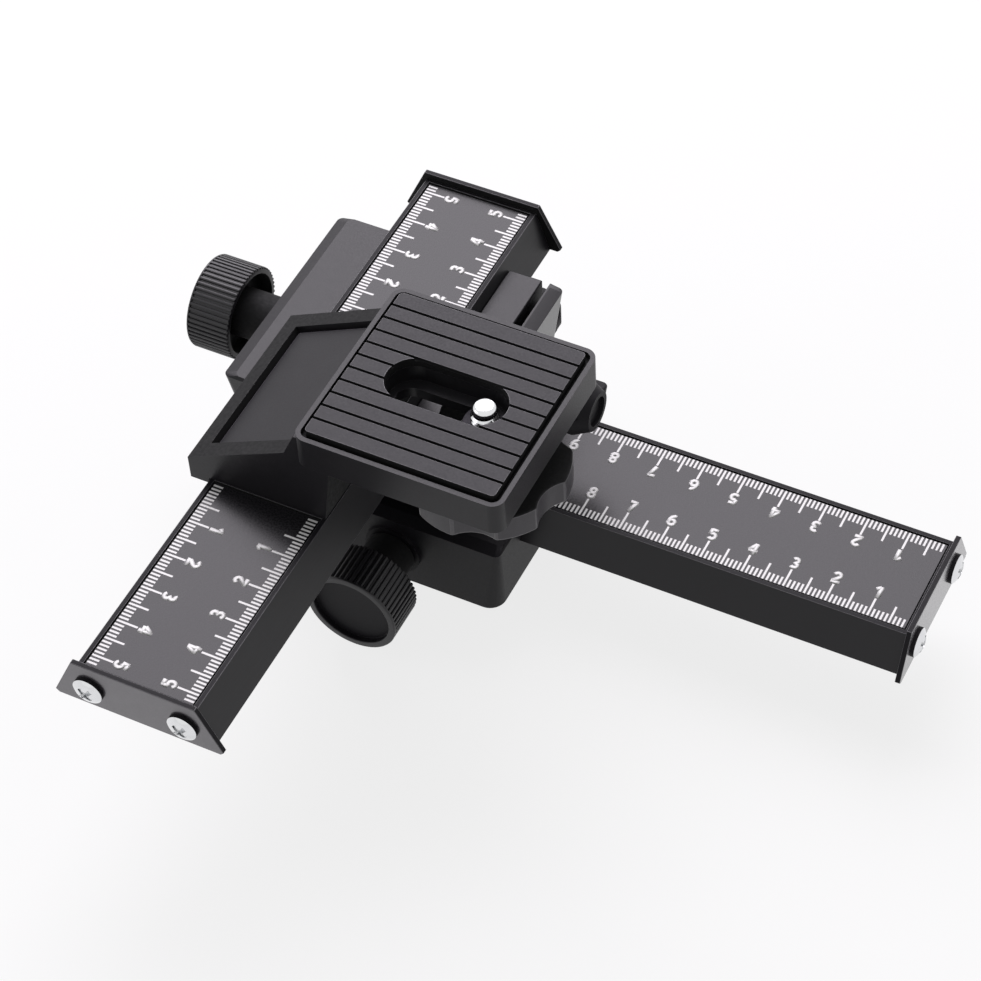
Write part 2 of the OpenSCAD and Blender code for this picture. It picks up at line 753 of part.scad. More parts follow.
module upper_carriage() color(black) difference() {
    in_upper() carriage_body();
    for (p = lower_screws) translate([p[0], p[1], stage_h - cut])
        cylinder(r = cap_thread_r + fit_gap, h = cap_grip + cut + near_gap);
}
module upper_carriage_screws() color(steel) for (p = lower_screws) translate(p) cap_screw();
module upper_gib() color(satin) in_upper() gib_body();
module upper_bushes() color(brass) in_upper() bush_pair();
module upper_shaft() color(steel) in_upper() focus_shaft();
module upper_pinion() color(brass) in_upper() pinion_gear();
module upper_focus_knob() color(plastic) in_upper() focus_knob();
module upper_knob_disc() color(plastic) in_upper() knob_disc();
module upper_set_screw() color(steel) in_upper() set_screw();
module upper_lock_screw() color(steel) in_upper() lock_stud();
module upper_lock_knob() color(plastic) in_upper() lock_knob_body();
module upper_rail() color(satin) in_upper() rail_body(upper_mid, upper_scales, upper_screws);
module upper_rack() color(steel) in_upper() rack_bar(upper_mid);
module upper_scale_front() color(print_grey)
    in_upper() scale_bar(upper_scales[0][0], upper_scales[0][1]);
module upper_scale_back() color(print_grey)
    in_upper() scale_bar(upper_scales[1][0], upper_scales[1][1]);
module upper_end_plate_front() color(black) in_upper() end_plate(upper_mid, 1);
module upper_end_plate_back() color(black) in_upper() end_plate(upper_mid, -1);
module upper_end_screws() color(chrome) in_upper() end_screw_set(upper_mid);
module platform_screws() color(steel) in_upper() for (p = upper_screws) translate(p) cap_screw();

// ---- camera platform ----

function slope_z(x) = slope_low + (x - slope_x) * slope;
slope_drop = slope_t / cos(slope_angle);

// Side view of the front skirt and foot, in (X, Z), as a solid outline
module foot_outline()
    polygon([[slope_x, -front_drop], [-front_rail_gap - front_drop * lean, -front_drop],
             [-front_rail_gap, 0],
             [foot_right, 0], [foot_right + foot_lean, skirt_z], [foot_right + foot_lean, skirt_z + 1],
             [deck_x + deck_corner, deck_z - deck_lip], [deck_x, deck_z - deck_lip],
             [slope_end, slope_high], [slope_x, slope_low]]);

// The hollow under the slope, open to the rail
module foot_hollow() {
    left = slope_x + foot_wall;
    right = foot_right - foot_wall;
    polygon([[left, -front_drop - cut], [right, -front_drop - cut],
             [right, slope_z(right) - slope_drop - hollow_roof], [left, slope_z(left) - slope_drop]]);
}

module slope_face() translate([slope_x, 0, slope_low]) rotate([0, -slope_angle, 0]) children();

// The panel's bed starts a margin from the slope's low edge and ends near the deck
bed_len = (slope_end - slope_x) / cos(slope_angle) - 1.2 * panel_margin;
bed_w = foot_w - 2 * panel_margin;
bed_depth = panel_sink + panel_t;

module camera_platform() color(black) on_platform() difference() {
    union() {
        difference() {
            extrude_y(-foot_half, foot_half) foot_outline();
            extrude_y(-foot_half + foot_wall, foot_half - foot_wall) foot_hollow();
        }
        // pillars that take the fixing screws
        intersection() {
            extrude_y(-foot_half, foot_half) foot_outline();
            for (sx = [-1, 1], sy = [-1, 1])
                translate([sx * foot_screw_x, sy * foot_screw_y, 0])
                    cylinder(r = foot_boss_r, h = skirt_z);
        }
        translate([deck_mid, 0, 0]) difference() {
            translate([0, 0, skirt_z]) linear_extrude(skirt_h) round_rect(deck_len, deck_w, deck_corner);
            // hollow under the deck
            difference() {
                translate([0, 0, skirt_z - cut]) linear_extrude(pad_floor - skirt_t - skirt_z + cut)
                    round_rect(deck_len - 2 * skirt_t, deck_w - 2 * skirt_t, deck_corner / 2);
                translate([recess_x - deck_mid, 0, skirt_z - 2 * cut]) linear_extrude(skirt_h)
                    obround(recess_len + 2 * boss_margin, recess_w + 2 * boss_margin);
            }
        }
    }
    // bed of the rubber pad
    translate([deck_mid, 0, pad_floor]) linear_extrude(deck_z - pad_floor + cut)
        round_rect(deck_len - 2 * rim_w, deck_w - 2 * rim_w, deck_corner - rim_w);
    translate([recess_x, 0, recess_z]) linear_extrude(skirt_h) obround(recess_len, recess_w);
    translate([recess_x, 0, skirt_z - cut]) linear_extrude(skirt_h) obround(slot_len, slot_w);
    for (sx = [-1, 1], sy = [-1, 1])
        translate([sx * foot_screw_x, sy * foot_screw_y, -cut])
            cylinder(r = cap_thread_r + fit_gap, h = cap_grip + cut + near_gap);
    // bed of the front panel
    slope_face() translate([panel_margin, -bed_w / 2, -bed_depth]) cube([bed_len, bed_w, bed_depth + cut]);
}

module front_panel() color(satin) on_platform() slope_face()
    translate([panel_margin + panel_gap, panel_gap - bed_w / 2, -bed_depth])
        cube([bed_len - 2 * panel_gap, bed_w - 2 * panel_gap, panel_t]);

module rubber_pad() color(rubber) on_platform() {
    pad_w = deck_w - 2 * pad_inset;
    rows = floor(pad_w / 2 / groove_pitch);
    translate([deck_mid, 0, pad_floor]) difference() {
        linear_extrude(pad_t) difference() {
            round_rect(deck_len - 2 * pad_inset, pad_w, 1);
            translate([recess_x - deck_mid, 0]) obround(recess_len, recess_w);
        }
        for (i = [-rows:rows - 1])
            translate([-deck_len, (i + 0.5) * groove_pitch - groove_w / 2, pad_t - groove_depth])
                cube([2 * deck_len, groove_w, groove_depth + cut]);
    }
}

// ---- camera screw ----

module at_screw() on_platform() translate([screw_x, 0, 0]) children();

module ring(r_out, r_in, h) difference() {
    cylinder(r = r_out, h = h);
    translate([0, 0, -cut]) cylinder(r = r_in, h = h + 2 * cut);
}

module screw_washer() color(plastic) at_screw()
    translate([0, 0, washer_z]) ring(washer_r, shank_r + shaft_gap, washer_t);

module camera_screw() color(chrome) at_screw() {
    translate([0, 0, wheel_z + 1]) cylinder(r = shank_r, h = clip_z + clip_t - wheel_z - 1);
    translate([0, 0, clip_z + clip_t]) {
        thread = screw_top - tip_bevel - clip_z - clip_t;
        cylinder(r = camera_screw_r, h = thread);
        translate([0, 0, thread])
            cylinder(r1 = camera_screw_r, r2 = camera_screw_r - tip_bevel, h = tip_bevel);
    }
}

module thumb_wheel() color(plastic) at_screw() difference() {
    union() {
        translate([0, 0, wheel_z]) linear_extrude(wheel_t) difference() {
            circle(wheel_r);
            half = 90 / wheel_scallops;
            chord = wheel_r * sin(half);
            at = wheel_r * cos(half) + sqrt(scallop_r * scallop_r - chord * chord);
            for (i = [0:wheel_scallops - 1])
                rotate(scallop_turn + i * 360 / wheel_scallops) translate([at, 0]) circle(scallop_r);
        }
        translate([0, 0, wheel_top]) cylinder(r = washer_r, h = hub_top - wheel_top);
    }
    translate([0, 0, wheel_z + 1]) cylinder(r = shank_r + fit_gap, h = hub_top);
}

module screw_clip() color(steel) at_screw()
    translate([0, 0, clip_z]) ring(clip_r, shank_r + fit_gap, clip_t - fit_gap);

base_carriage();
tripod_insert();
base_gib();
base_bushes();
lower_shaft();
lower_pinion();
lower_focus_knob();
lower_knob_disc();
lower_set_screw();
lower_lock_screw();
lower_lock_knob();
lower_rail();
lower_rack();
lower_scale();
lower_end_plate_left();
lower_end_plate_right();
lower_end_screws();
upper_carriage();
upper_carriage_screws();
upper_gib();
upper_bushes();
upper_shaft();
upper_pinion();
upper_focus_knob();
upper_knob_disc();
upper_set_screw();
upper_lock_screw();
upper_lock_knob();
upper_rail();
upper_rack();
upper_scale_front();
upper_scale_back();
upper_end_plate_front();
upper_end_plate_back();
upper_end_screws();
camera_platform();
platform_screws();
rubber_pad();
front_panel();
screw_washer();
camera_screw();
thumb_wheel();
screw_clip();
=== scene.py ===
"""Dresses a two-axis macro focusing rail: its finishes, printed scales, knob ribs and screw thread."""

import json
import math

import bmesh
import bpy
from bpy.props import FloatProperty, FloatVectorProperty, IntProperty, PointerProperty
from mathutils import Matrix, Vector


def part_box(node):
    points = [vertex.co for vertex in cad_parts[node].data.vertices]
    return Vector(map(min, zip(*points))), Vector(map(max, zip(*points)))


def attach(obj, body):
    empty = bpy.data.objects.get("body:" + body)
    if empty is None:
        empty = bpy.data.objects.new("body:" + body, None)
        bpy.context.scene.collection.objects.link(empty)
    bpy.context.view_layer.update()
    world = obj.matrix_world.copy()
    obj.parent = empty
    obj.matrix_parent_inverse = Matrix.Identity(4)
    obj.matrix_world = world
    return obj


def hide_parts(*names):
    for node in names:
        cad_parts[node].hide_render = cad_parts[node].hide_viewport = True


bl_info = {
    "name": "Macro Focusing Rail",
    "version": (1, 0, 0),
    "blender": (4, 5, 0),
    "location": "3D View > Sidebar > Focusing Rail",
    "description": "Builds the finished surfaces of a two-axis macro focusing rail",
    "category": "Object",
}

MM = 0.001
QUARTER = math.pi / 2
FULL = 2 * math.pi

# Points closer than this are one, in a new piece and among a solid's triangles.
SAME_POINT = 1e-7
SAME_CORNER = 2e-6
# Faces that turn by less than the first lie in one plane, and by more than the second meet in a crease.
FLAT_ANGLE = math.radians(0.5)
CREASE_ANGLE = math.radians(32)
# A face looks in a direction when this much of its normal points there, and a slope leans that way
# when less than this and more than LEANING does.
FACING = 0.97
LEANING = 0.2
# What lies within this of a top face counts as part of it.
TOP_SKIN = 0.05 * MM

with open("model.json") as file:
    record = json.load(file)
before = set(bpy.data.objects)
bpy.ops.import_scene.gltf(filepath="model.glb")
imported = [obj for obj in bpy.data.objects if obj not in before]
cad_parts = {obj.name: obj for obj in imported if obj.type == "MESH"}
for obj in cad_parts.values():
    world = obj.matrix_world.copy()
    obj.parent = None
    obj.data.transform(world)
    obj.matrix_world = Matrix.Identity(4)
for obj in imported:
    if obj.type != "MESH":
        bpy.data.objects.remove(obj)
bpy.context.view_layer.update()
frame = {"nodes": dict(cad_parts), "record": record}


def middle(node):
    """The middle of a solid's box."""
    low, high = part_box(node)
    return (low + high) / 2


# ---------------------------------------------------------------- the two stages

# In a stage's own frame the rail runs along X, the focus knob points to -Y and
# the lock knob to +Y. The upper stage is the same, turned a quarter turn.
TURNS = {"lower": 0.0, "upper": -QUARTER}
CARRIAGES = {"lower": "base_carriage", "upper": "upper_carriage"}


def stage_matrix(stage):
    """From a stage's own frame to the part's, worked out from its pinion and carriage."""
    pinion = middle(f"{stage}_pinion")
    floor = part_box(CARRIAGES[stage])[0].z
    return Matrix.Translation((pinion.x, pinion.y, floor)) @ Matrix.Rotation(TURNS[stage], 4, "Z")


def local_box(stage, node):
    """A solid's box in its stage's own frame."""
    inverse = stage_matrix(stage).inverted()
    low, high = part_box(node)
    ends = [inverse @ low, inverse @ high]
    return (
        Vector([min(e[i] for e in ends) for i in range(3)]),
        Vector([max(e[i] for e in ends) for i in range(3)]),
    )


def knob_matrix(stage, node):
    """A frame whose +Z runs out along a focus knob's axis, with its origin at the knob's outer end."""
    low, high = local_box(stage, node)
    mid = (low + high) / 2
    place = Matrix.Translation((mid.x, low.y, mid.z))
    return stage_matrix(stage) @ place @ Matrix.Rotation(QUARTER, 4, "X")


# ---------------------------------------------------------------- materials


def linear(hex_colour):
    """An sRGB hex colour as a linear RGBA."""
    text = hex_colour.lstrip("#")
    parts = [int(text[i : i + 2], 16) / 255 for i in (0, 2, 4)]
    return tuple([p / 12.92 if p <= 0.04045 else ((p + 0.055) / 1.055) ** 2.4 for p in parts] + [1.0])


def add(tree, kind, inputs=None, **settings):
    """Adds a node, sets its attributes, and sets or links its inputs."""
    node = tree.nodes.new(kind)
    for name, value in settings.items():
        setattr(node, name, value)
    for name, value in (inputs or {}).items():
        if isinstance(value, bpy.types.NodeSocket):
            tree.links.new(value, node.inputs[name])
        else:
            node.inputs[name].default_value = value
    return node


def start_material(name):
    """A new material with an empty tree but for its output."""
    material = bpy.data.materials.new(name)
    material.use_nodes = True
    tree = material.node_tree
    tree.nodes.clear()
    output = add(tree, "ShaderNodeOutputMaterial")
    return material, tree, output


def blend_hex(tree, factor, low_hex, high_hex):
    """A colour that runs between two hex colours by a factor."""
    ramp = add(tree, "ShaderNodeValToRGB", {"Fac": factor})
    ramp.color_ramp.elements[0].color = linear(low_hex)
    ramp.color_ramp.elements[1].color = linear(high_hex)
    return ramp.outputs["Color"]


def grain(tree, size_mm, stretch=(1, 1, 1), detail=3.0):
    """Noise whose grain is that many millimetres across, drawn out along an axis by stretch."""
    place = add(tree, "ShaderNodeTexCoord")
    mapping = add(
        tree,
        "ShaderNodeMapping",
        {"Vector": place.outputs["Object"], "Scale": [1 / (size_mm * MM * s) for s in stretch]},
    )
    noise = add(
        tree,
        "ShaderNodeTexNoise",
        {"Vector": mapping.outputs["Vector"], "Scale": 1.0, "Detail": detail},
    )
    return noise.outputs["Fac"]


def surface(tree, output, colour, roughness, height=None, depth_mm=0.02, specular=0.5, **sockets):
    """Joins colour, roughness and a height pattern to one Principled shader."""
    inputs = {"Base Color": colour, "Roughness": roughness, "Specular IOR Level": specular, **sockets}
    if height is not None:
        bump = add(
            tree,
            "ShaderNodeBump",
            {"Height": height, "Strength": 1.0, "Distance": depth_mm * MM},
        )
        inputs["Normal"] = bump.outputs["Normal"]
    shader = add(tree, "ShaderNodeBsdfPrincipled", inputs)
    tree.links.new(shader.outputs["BSDF"], output.inputs["Surface"])


def spread(tree, factor, low, high):
    """A number that runs between low and high by a factor."""
    span = add(
        tree,
        "ShaderNodeMapRange",
        {"Value": factor, "From Min": 0.3, "From Max": 0.7, "To Min": low, "To Max": high},
    )
    return span.outputs["Result"]


def painted_casting(name, coat):
    """Die-cast alloy under satin black stove enamel: a fine orange peel and soft highlights."""
    material, tree, output = start_material(name)
    peel = grain(tree, 0.35)
    cloud = grain(tree, 9.0)
    colour = blend_hex(tree, cloud, "#1a191c", "#222124")
    coating = {"Coat Weight": coat, "Coat Roughness": 0.3}
    surface(tree, output, colour, spread(tree, peel, 0.36, 0.46), peel, 0.012, specular=0.27, **coating)
    return material


def blasted_paint():
    """Matt black paint whose darker colour is painted shade: for sides, slopes and rims that the light leaves
    dark.
    """
    material, tree, output = start_material("matt black paint, darkened as painted shade")
    grit = grain(tree, 0.25)
    colour = blend_hex(tree, grain(tree, 8.0), "#131215", "#19181b")
    surface(tree, output, colour, spread(tree, grit, 0.46, 0.58), grit, 0.008, specular=0.13)
    return material


def painted_panel():
    """Satin black paint on sheet and on the milled chamfer: smoother than the casting, a shade lighter."""
    material, tree, output = start_material("satin black paint on sheet")
    peel = grain(tree, 0.4)
    colour = blend_hex(tree, grain(tree, 7.0), "#1c1b1e", "#242326")
    surface(tree, output, colour, spread(tree, peel, 0.4, 0.5), peel, 0.008, specular=0.2)
    return material


def anodised_rail(stretch, name):
    """Extruded aluminium, black anodised: faint die lines along the rail and a metallic sheen."""
    material, tree, output = start_material(name)
    lines = grain(tree, 0.25, stretch)
    cloud = grain(tree, 14.0)
    colour = blend_hex(tree, cloud, "#18171a", "#1f1e21")
    surface(tree, output, colour, spread(tree, lines, 0.3, 0.4), lines, 0.006, specular=0.28)
    return material


def scale_enamel():
    """Enamelled scale plate: smoother than the rail, so it shows the sky as an even grey."""
    material, tree, output = start_material("enamelled scale plate")
    peel = grain(tree, 0.5)
    cloud = grain(tree, 20.0)
    colour = blend_hex(tree, cloud, "#19181b", "#201f22")
    surface(tree, output, colour, spread(tree, peel, 0.25, 0.3), peel, 0.0012, specular=0.28)
    return material


def moulded_plastic():
    """Moulded black plastic with an eroded mould finish: tight grain and a dull shine."""
    material, tree, output = start_material("moulded black plastic")
    spark = grain(tree, 0.3)
    colour = blend_hex(tree, grain(tree, 6.0), "#1b1a1d", "#232225")
    surface(tree, output, colour, spread(tree, spark, 0.34, 0.44), spark, 0.008, specular=0.42)
    return material


def grooved_rubber():
    """Moulded nitrile rubber: matt, a little dusty on the ridges."""
    material, tree, output = start_material("moulded rubber")
    skin = grain(tree, 0.4)
    colour = blend_hex(tree, grain(tree, 5.0), "#2b2a2d", "#353437")
    surface(tree, output, colour, spread(tree, skin, 0.5, 0.62), skin, 0.02, specular=0.24)
    return material


def blacked_plate():
    """Stamped steel plate under thin black nickel and clear lacquer: nearly a mirror at a low angle."""
    material, tree, output = start_material("black nickel on stamped plate")
    haze = grain(tree, 3.0)
    peel = grain(tree, 0.4)
    colour = blend_hex(tree, haze, "#48454a", "#545156")
    lacquer = {"Metallic": 1.0, "Coat Weight": 1.0, "Coat Roughness": 0.16}
    surface(tree, output, colour, spread(tree, peel, 0.34, 0.44), peel, 0.004, **lacquer)
    return material


def worn_edge():
    """Edges lighter than the flats: partly rubbed thin by handling, partly a painted highlight along every
    rounded edge.
    """
    material, tree, output = start_material("rubbed black and painted highlight on edges")
    rub = grain(tree, 0.8)
    colour = blend_hex(tree, rub, "#39373b", "#5a585c")
    surface(tree, output, colour, spread(tree, rub, 0.28, 0.4))
    return material


def wheel_plastic():
    """Glass-filled plastic of the thumb wheel: a shade greyer than the knobs."""
    material, tree, output = start_material("glass-filled plastic")
    spark = grain(tree, 0.3)
    colour = blend_hex(tree, grain(tree, 5.0), "#353337", "#403e42")
    surface(tree, output, colour, spread(tree, spark, 0.4, 0.5), spark, 0.01, specular=0.4)
    return material


def blackened_flank():
    """Painted shade on the flanks of the screw heads and the walls of their recesses: plated steel, dull and
    darker beside the bright faces.
    """
    material, tree, output = start_material("unpolished flank of plated steel")
    dirt = grain(tree, 0.5)
    colour = blend_hex(tree, dirt, "#1a191b", "#2e2d30")
    surface(tree, output, colour, spread(tree, dirt, 0.4, 0.6), Metallic=1.0)
    return material


def bright_plating():
    """Nickel and chromium plate on steel: a near mirror."""
    material, tree, output = start_material("bright plated steel")
    haze = grain(tree, 1.5)
    colour = blend_hex(tree, haze, "#d9dadc", "#e6e7e8")
    surface(tree, output, colour, spread(tree, haze, 0.1, 0.18), Metallic=1.0)
    return material


def turned_steel():
    """Turned and milled steel: fine tool marks that spread the highlights."""
    material, tree, output = start_material("machined steel")
    marks = grain(tree, 0.3, (1, 1, 4))
    colour = blend_hex(tree, marks, "#8d8f93", "#a3a5a8")
    surface(tree, output, colour, spread(tree, marks, 0.28, 0.42), marks, 0.004, Metallic=1.0)
    return material


def turned_brass():
    """Turned brass: warm, with the same fine tool marks."""
    material, tree, output = start_material("machined brass")
    marks = grain(tree, 0.3, (1, 1, 4))
    colour = blend_hex(tree, marks, "#a98546", "#c4a05c")
    surface(tree, output, colour, spread(tree, marks, 0.25, 0.38), marks, 0.004, Metallic=1.0)
    return material


def screen_ink():
    """White screen-printing ink: opaque and matt, with slightly uneven cover."""
    material, tree, output = start_material("white printing ink")
    cover = grain(tree, 0.6)
    colour = blend_hex(tree, cover, "#ececea", "#fafaf8")
    surface(tree, output, colour, 0.55, cover, 0.004)
    return material


def black_oxide():
    """Near-black painted shade in gaps, hollows and undersides, where the light does not reach."""
    material, tree, output = start_material("black painted shade in gaps and hollows")
    dirt = grain(tree, 0.8)
    colour = blend_hex(tree, dirt, "#0c0c0d", "#151516")
    surface(tree, output, colour, spread(tree, dirt, 0.6, 0.8), specular=0.2)
    return material


FINISHES = {
    "casting": lambda: painted_casting("stove enamel on die casting", 0.0),
    "polished": lambda: painted_casting("stove enamel on die casting, polished by wear", 0.7),
    "shade_matt": blasted_paint,
    "panel": painted_panel,
    "rail_x": lambda: anodised_rail((60, 1, 1), "black anodised extrusion along X"),
    "rail_y": lambda: anodised_rail((1, 60, 1), "black anodised extrusion along Y"),
    "scale": scale_enamel,
    "plastic": moulded_plastic,
    "rubber": grooved_rubber,
    "plating": bright_plating,
    "steel": turned_steel,
    "brass": turned_brass,
    "ink": screen_ink,
    "painted_shade": black_oxide,
    "plate": blacked_plate,
    "wear_and_highlight": worn_edge,
    "wheel": wheel_plastic,
    "flank": blackened_flank,
}
made_finishes = {}


def finish(name):
    """A finish's material, made once."""
    if name not in made_finishes:
        made_finishes[name] = FINISHES[name]()
    return made_finishes[name]


# ---------------------------------------------------------------- mesh helpers


def settle(bm, name, body, finish_names, replaced=(), smooth=True):
    """Turns a bmesh into a finished piece that rides on a body.

    The first finish is the main one. Faces with a higher material index take the others.
    """
    bmesh.ops.remove_doubles(bm, verts=bm.verts, dist=SAME_POINT)
    bmesh.ops.recalc_face_normals(bm, faces=bm.faces)
    mesh = bpy.data.meshes.new(name)
    bm.to_mesh(mesh)
    bm.free()
    if smooth:
        mesh.shade_smooth()
        mesh.set_sharp_from_angle(angle=CREASE_ANGLE)
    piece = bpy.data.objects.new(name, mesh)
    bpy.context.scene.collection.objects.link(piece)
    for finish_name in finish_names:
        mesh.materials.append(finish(finish_name))
    if smooth:
        # broad faces keep their own normals, so that a bevel shades only itself
        weighted = piece.modifiers.new("weighted normals", "WEIGHTED_NORMAL")
        weighted.keep_sharp = True
    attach(piece, body)
    if replaced:
        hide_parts(*replaced)
    return piece


def turned(profile, segments):
    """A new bmesh with a profile of (radius, height) points spun round the Z axis."""
    bm = bmesh.new()
    verts = [bm.verts.new((r, 0, z)) for r, z in profile]
    edges = [bm.edges.new(pair) for pair in zip(verts, verts[1:])]
    bmesh.ops.spin(
        bm,
        geom=verts + edges,
        axis=(0, 0, 1),
        cent=(0, 0, 0),
        angle=FULL,
        steps=segments,
        use_merge=True,
    )
    bmesh.ops.remove_doubles(bm, verts=bm.verts, dist=SAME_POINT)
    return bm


def round_edges(bm, edges, width, segments=2):
    """Bevels edges with the editor's own defaults."""
    return bmesh.ops.bevel(
        bm,
        geom=list(edges),
        offset=width,
        offset_type="OFFSET",
        affect="EDGES",
        segments=segments,
        profile=0.5,
        material=-1,
        clamp_overlap=True,
    )


def bar(bm, size, place, width=0.0):
    """A box of that size round the origin of a place, with rounded edges. Returns its vertices."""
    made = bmesh.ops.create_cube(bm, size=1.0, matrix=place @ Matrix.Diagonal((*size, 1.0)))
    verts = set(made["verts"])
    if width:
        edges = {edge for vert in verts for edge in vert.link_edges}
        rounded = round_edges(bm, edges, width)
        kept = {vert for vert in verts if vert.is_valid}
        verts = {vert for face in rounded["faces"] for vert in face.verts} | kept
    return verts


def ring_of(bm, verts, count):
    """Repeats what hangs on some vertices at even steps round the Z axis."""
    faces = {face for vert in verts for face in vert.link_faces}
    edges = {edge for vert in verts for edge in vert.link_edges}
    bmesh.ops.spin(
        bm,
        geom=list(verts) + list(edges) + list(faces),
        axis=(0, 0, 1),
        cent=(0, 0, 0),
        angle=FULL * (count - 1) / count,
        steps=count - 1,
        use_duplicate=True,
    )


def merged_copy(node):
    """A CAD node's mesh as a bmesh, with its loose triangles joined and flat areas made one face."""
    bm = bmesh.new()
    bm.from_mesh(frame["nodes"][node].data)
    bmesh.ops.remove_doubles(bm, verts=bm.verts, dist=SAME_CORNER)
    bmesh.ops.dissolve_limit(
        bm,
        angle_limit=FLAT_ANGLE,
        use_dissolve_boundaries=False,
        verts=bm.verts,
        edges=bm.edges,
    )
    return bm


def sharp_edges(bm, degrees):
    """The edges whose faces turn by more than an angle."""
    limit = math.radians(degrees)
    return [e for e in bm.edges if len(e.link_faces) == 2 and e.calc_face_angle() > limit]


def dress(node, finish_name, width_mm, segments=2, degrees=30, picks=(), shape=None):
    """A rounded copy of a CAD node that stands for it, its rounded edges lighter as wear and painted
    highlight.

    Each pick is a test of a face's middle and normal and the finish of the faces that pass it.
    The shape function works on the copy before its edges are rounded.
    """
    bm = merged_copy(node)
    if shape:
        bm.normal_update()
        shape(bm)
    if width_mm:
        rounded = round_edges(bm, sharp_edges(bm, degrees), width_mm * MM, segments)
        # the rounded edges take the lighter edge finish, partly wear and partly painted highlight
        for face in rounded["faces"]:
            face.material_index = 1
    bm.normal_update()
    for index, (test, _) in enumerate(picks, 2):
        for face in bm.faces:
            if test(face.calc_center_median(), face.normal):
                face.material_index = index
    finishes = (finish_name, "wear_and_highlight", *[name for _, name in picks])
    return settle(bm, f"{node}_finished", body_of(node), finishes, [node])


def coat(node, finish_name):
    """Gives a CAD node, as it is, a finish."""
    mesh = frame["nodes"][node].data
    mesh.materials.clear()
    mesh.materials.append(finish(finish_name))


def body_of(node):
    """The body that a node belongs to."""
    for body, nodes in frame["record"]["behaviour"]["bodies"].items():
        if node in nodes:
            return body
    raise ValueError(f"{node} is in no body")


def dress_nodes(nodes, finish_name, width_mm, picks=()):
    """Dresses several nodes alike."""
    for node in nodes:
        dress(node, finish_name, width_mm, picks=picks)


def within(point, box, margin):
    """Whether a point lies over a box, seen from above, with a margin round it."""
    low, high = box
    return all(low[i] - margin < point[i] < high[i] + margin for i in (0, 1))


# ---------------------------------------------------------------- sizes that a user would change


class KnobSizes(bpy.types.PropertyGroup):
    """Sizes of the focus knobs."""

    ribs: IntProperty(name="Ribs", description="Ribs round a focus knob", default=54, min=24, max=70)
    rib_height: FloatProperty(
        name="Rib height", description="How far the ribs stand up", default=0.38 * MM, unit="LENGTH"
    )
    drum_length: FloatProperty(
        name="Drum length", description="Length of the ribbed part", default=11 * MM, unit="LENGTH"
    )
    collar: FloatProperty(
        name="Collar", description="Length of the smooth end beside the face", default=0.5 * MM, unit="LENGTH"
    )
    hub_radius: FloatProperty(
        name="Hub radius", description="Radius of the hub behind the drum", default=6 * MM, unit="LENGTH"
    )
    rim: FloatProperty(
        name="Rim", description="Width of the rim round the face", default=1.4 * MM, unit="LENGTH"
    )
    back_hollow: FloatProperty(
        name="Back hollow", description="Depth of the hollow round the hub", default=3 * MM, unit="LENGTH"
    )
    dish: FloatProperty(
        name="Dish", description="Depth of the dished face", default=1.5 * MM, unit="LENGTH"
    )


class ScrewSizes(bpy.types.PropertyGroup):
    """Sizes of the camera screw."""

    thread_pitch: FloatProperty(
        name="Thread pitch", description="Rise of the thread in one turn", default=1.27 * MM, unit="LENGTH"
    )
    thread_depth: FloatProperty(
        name="Thread depth", description="From crest to root", default=0.5 * MM, unit="LENGTH"
    )
    dome: FloatProperty(name="Dome", description="Height of the domed tip", default=1.4 * MM, unit="LENGTH")


class ScaleSizes(bpy.types.PropertyGroup):
    """Sizes of the printed scales."""

    centimetre_tick: FloatProperty(
        name="Centimetre tick", description="Length of the longest ticks", default=5.1 * MM, unit="LENGTH"
    )
    half_tick: FloatProperty(
        name="Half tick",
        description="Length of the ticks at half a centimetre",
        default=4.8 * MM,
        unit="LENGTH",
    )
    millimetre_tick: FloatProperty(
        name="Millimetre tick", description="Length of the shortest ticks", default=2.3 * MM, unit="LENGTH"
    )
    stroke: FloatProperty(
        name="Stroke", description="Width of a tick", default=0.5 * MM, unit="LENGTH"
    )
    edge_margin: FloatProperty(
        name="Edge margin", description="From the plate's edge to the ticks", default=0.04 * MM, unit="LENGTH"
    )
    numeral: FloatProperty(
        name="Numeral", description="Height of a numeral", default=3.3 * MM, unit="LENGTH"
    )
    numeral_row: FloatProperty(
        name="Numeral row",
        description="From the rail's middle line to the middle of the numerals",
        default=5.8 * MM,
        unit="LENGTH",
    )
    numeral_stroke: FloatProperty(
        name="Numeral stroke", description="Width of a numeral's strokes", default=0.8 * MM, unit="LENGTH"
    )
    zero: FloatProperty(
        name="Zero",
        description="From the upper rail's middle to the zeros of its scales",
        default=25.6 * MM,
        unit="LENGTH",
    )
    ink: FloatProperty(name="Ink", description="Thickness of the print", default=0.03 * MM, unit="LENGTH")

    def tick_length(self, count):
        """How long the tick at a whole number of millimetres is."""
        if count > 0 and count % 10 == 0:
            return self.centimetre_tick
        return self.half_tick if count % 5 == 0 and count > 0 else self.millimetre_tick


class StageSettings(bpy.types.PropertyGroup):
    """The camera's place, aim and lens."""

    camera_place: FloatVectorProperty(
        name="Camera",
        description="Where the camera stands",
        default=(0.24931, -0.42164, 0.57203),
        subtype="TRANSLATION",
        unit="LENGTH",
    )
    azimuth: FloatProperty(
        name="Azimuth",
        description="Turn of the view from +Y",
        default=math.radians(29.538),
        subtype="ANGLE",
    )
    tilt: FloatProperty(
        name="Tilt",
        description="Angle between the view and straight down",
        default=math.radians(40.733),
        subtype="ANGLE",
    )
    roll: FloatProperty(
        name="Roll", description="Roll of the camera", default=math.radians(-3.938), subtype="ANGLE"
    )
    lens: FloatProperty(name="Lens", description="Focal length in millimetres", default=115.2, min=20)


# ---------------------------------------------------------------- carriages and rails


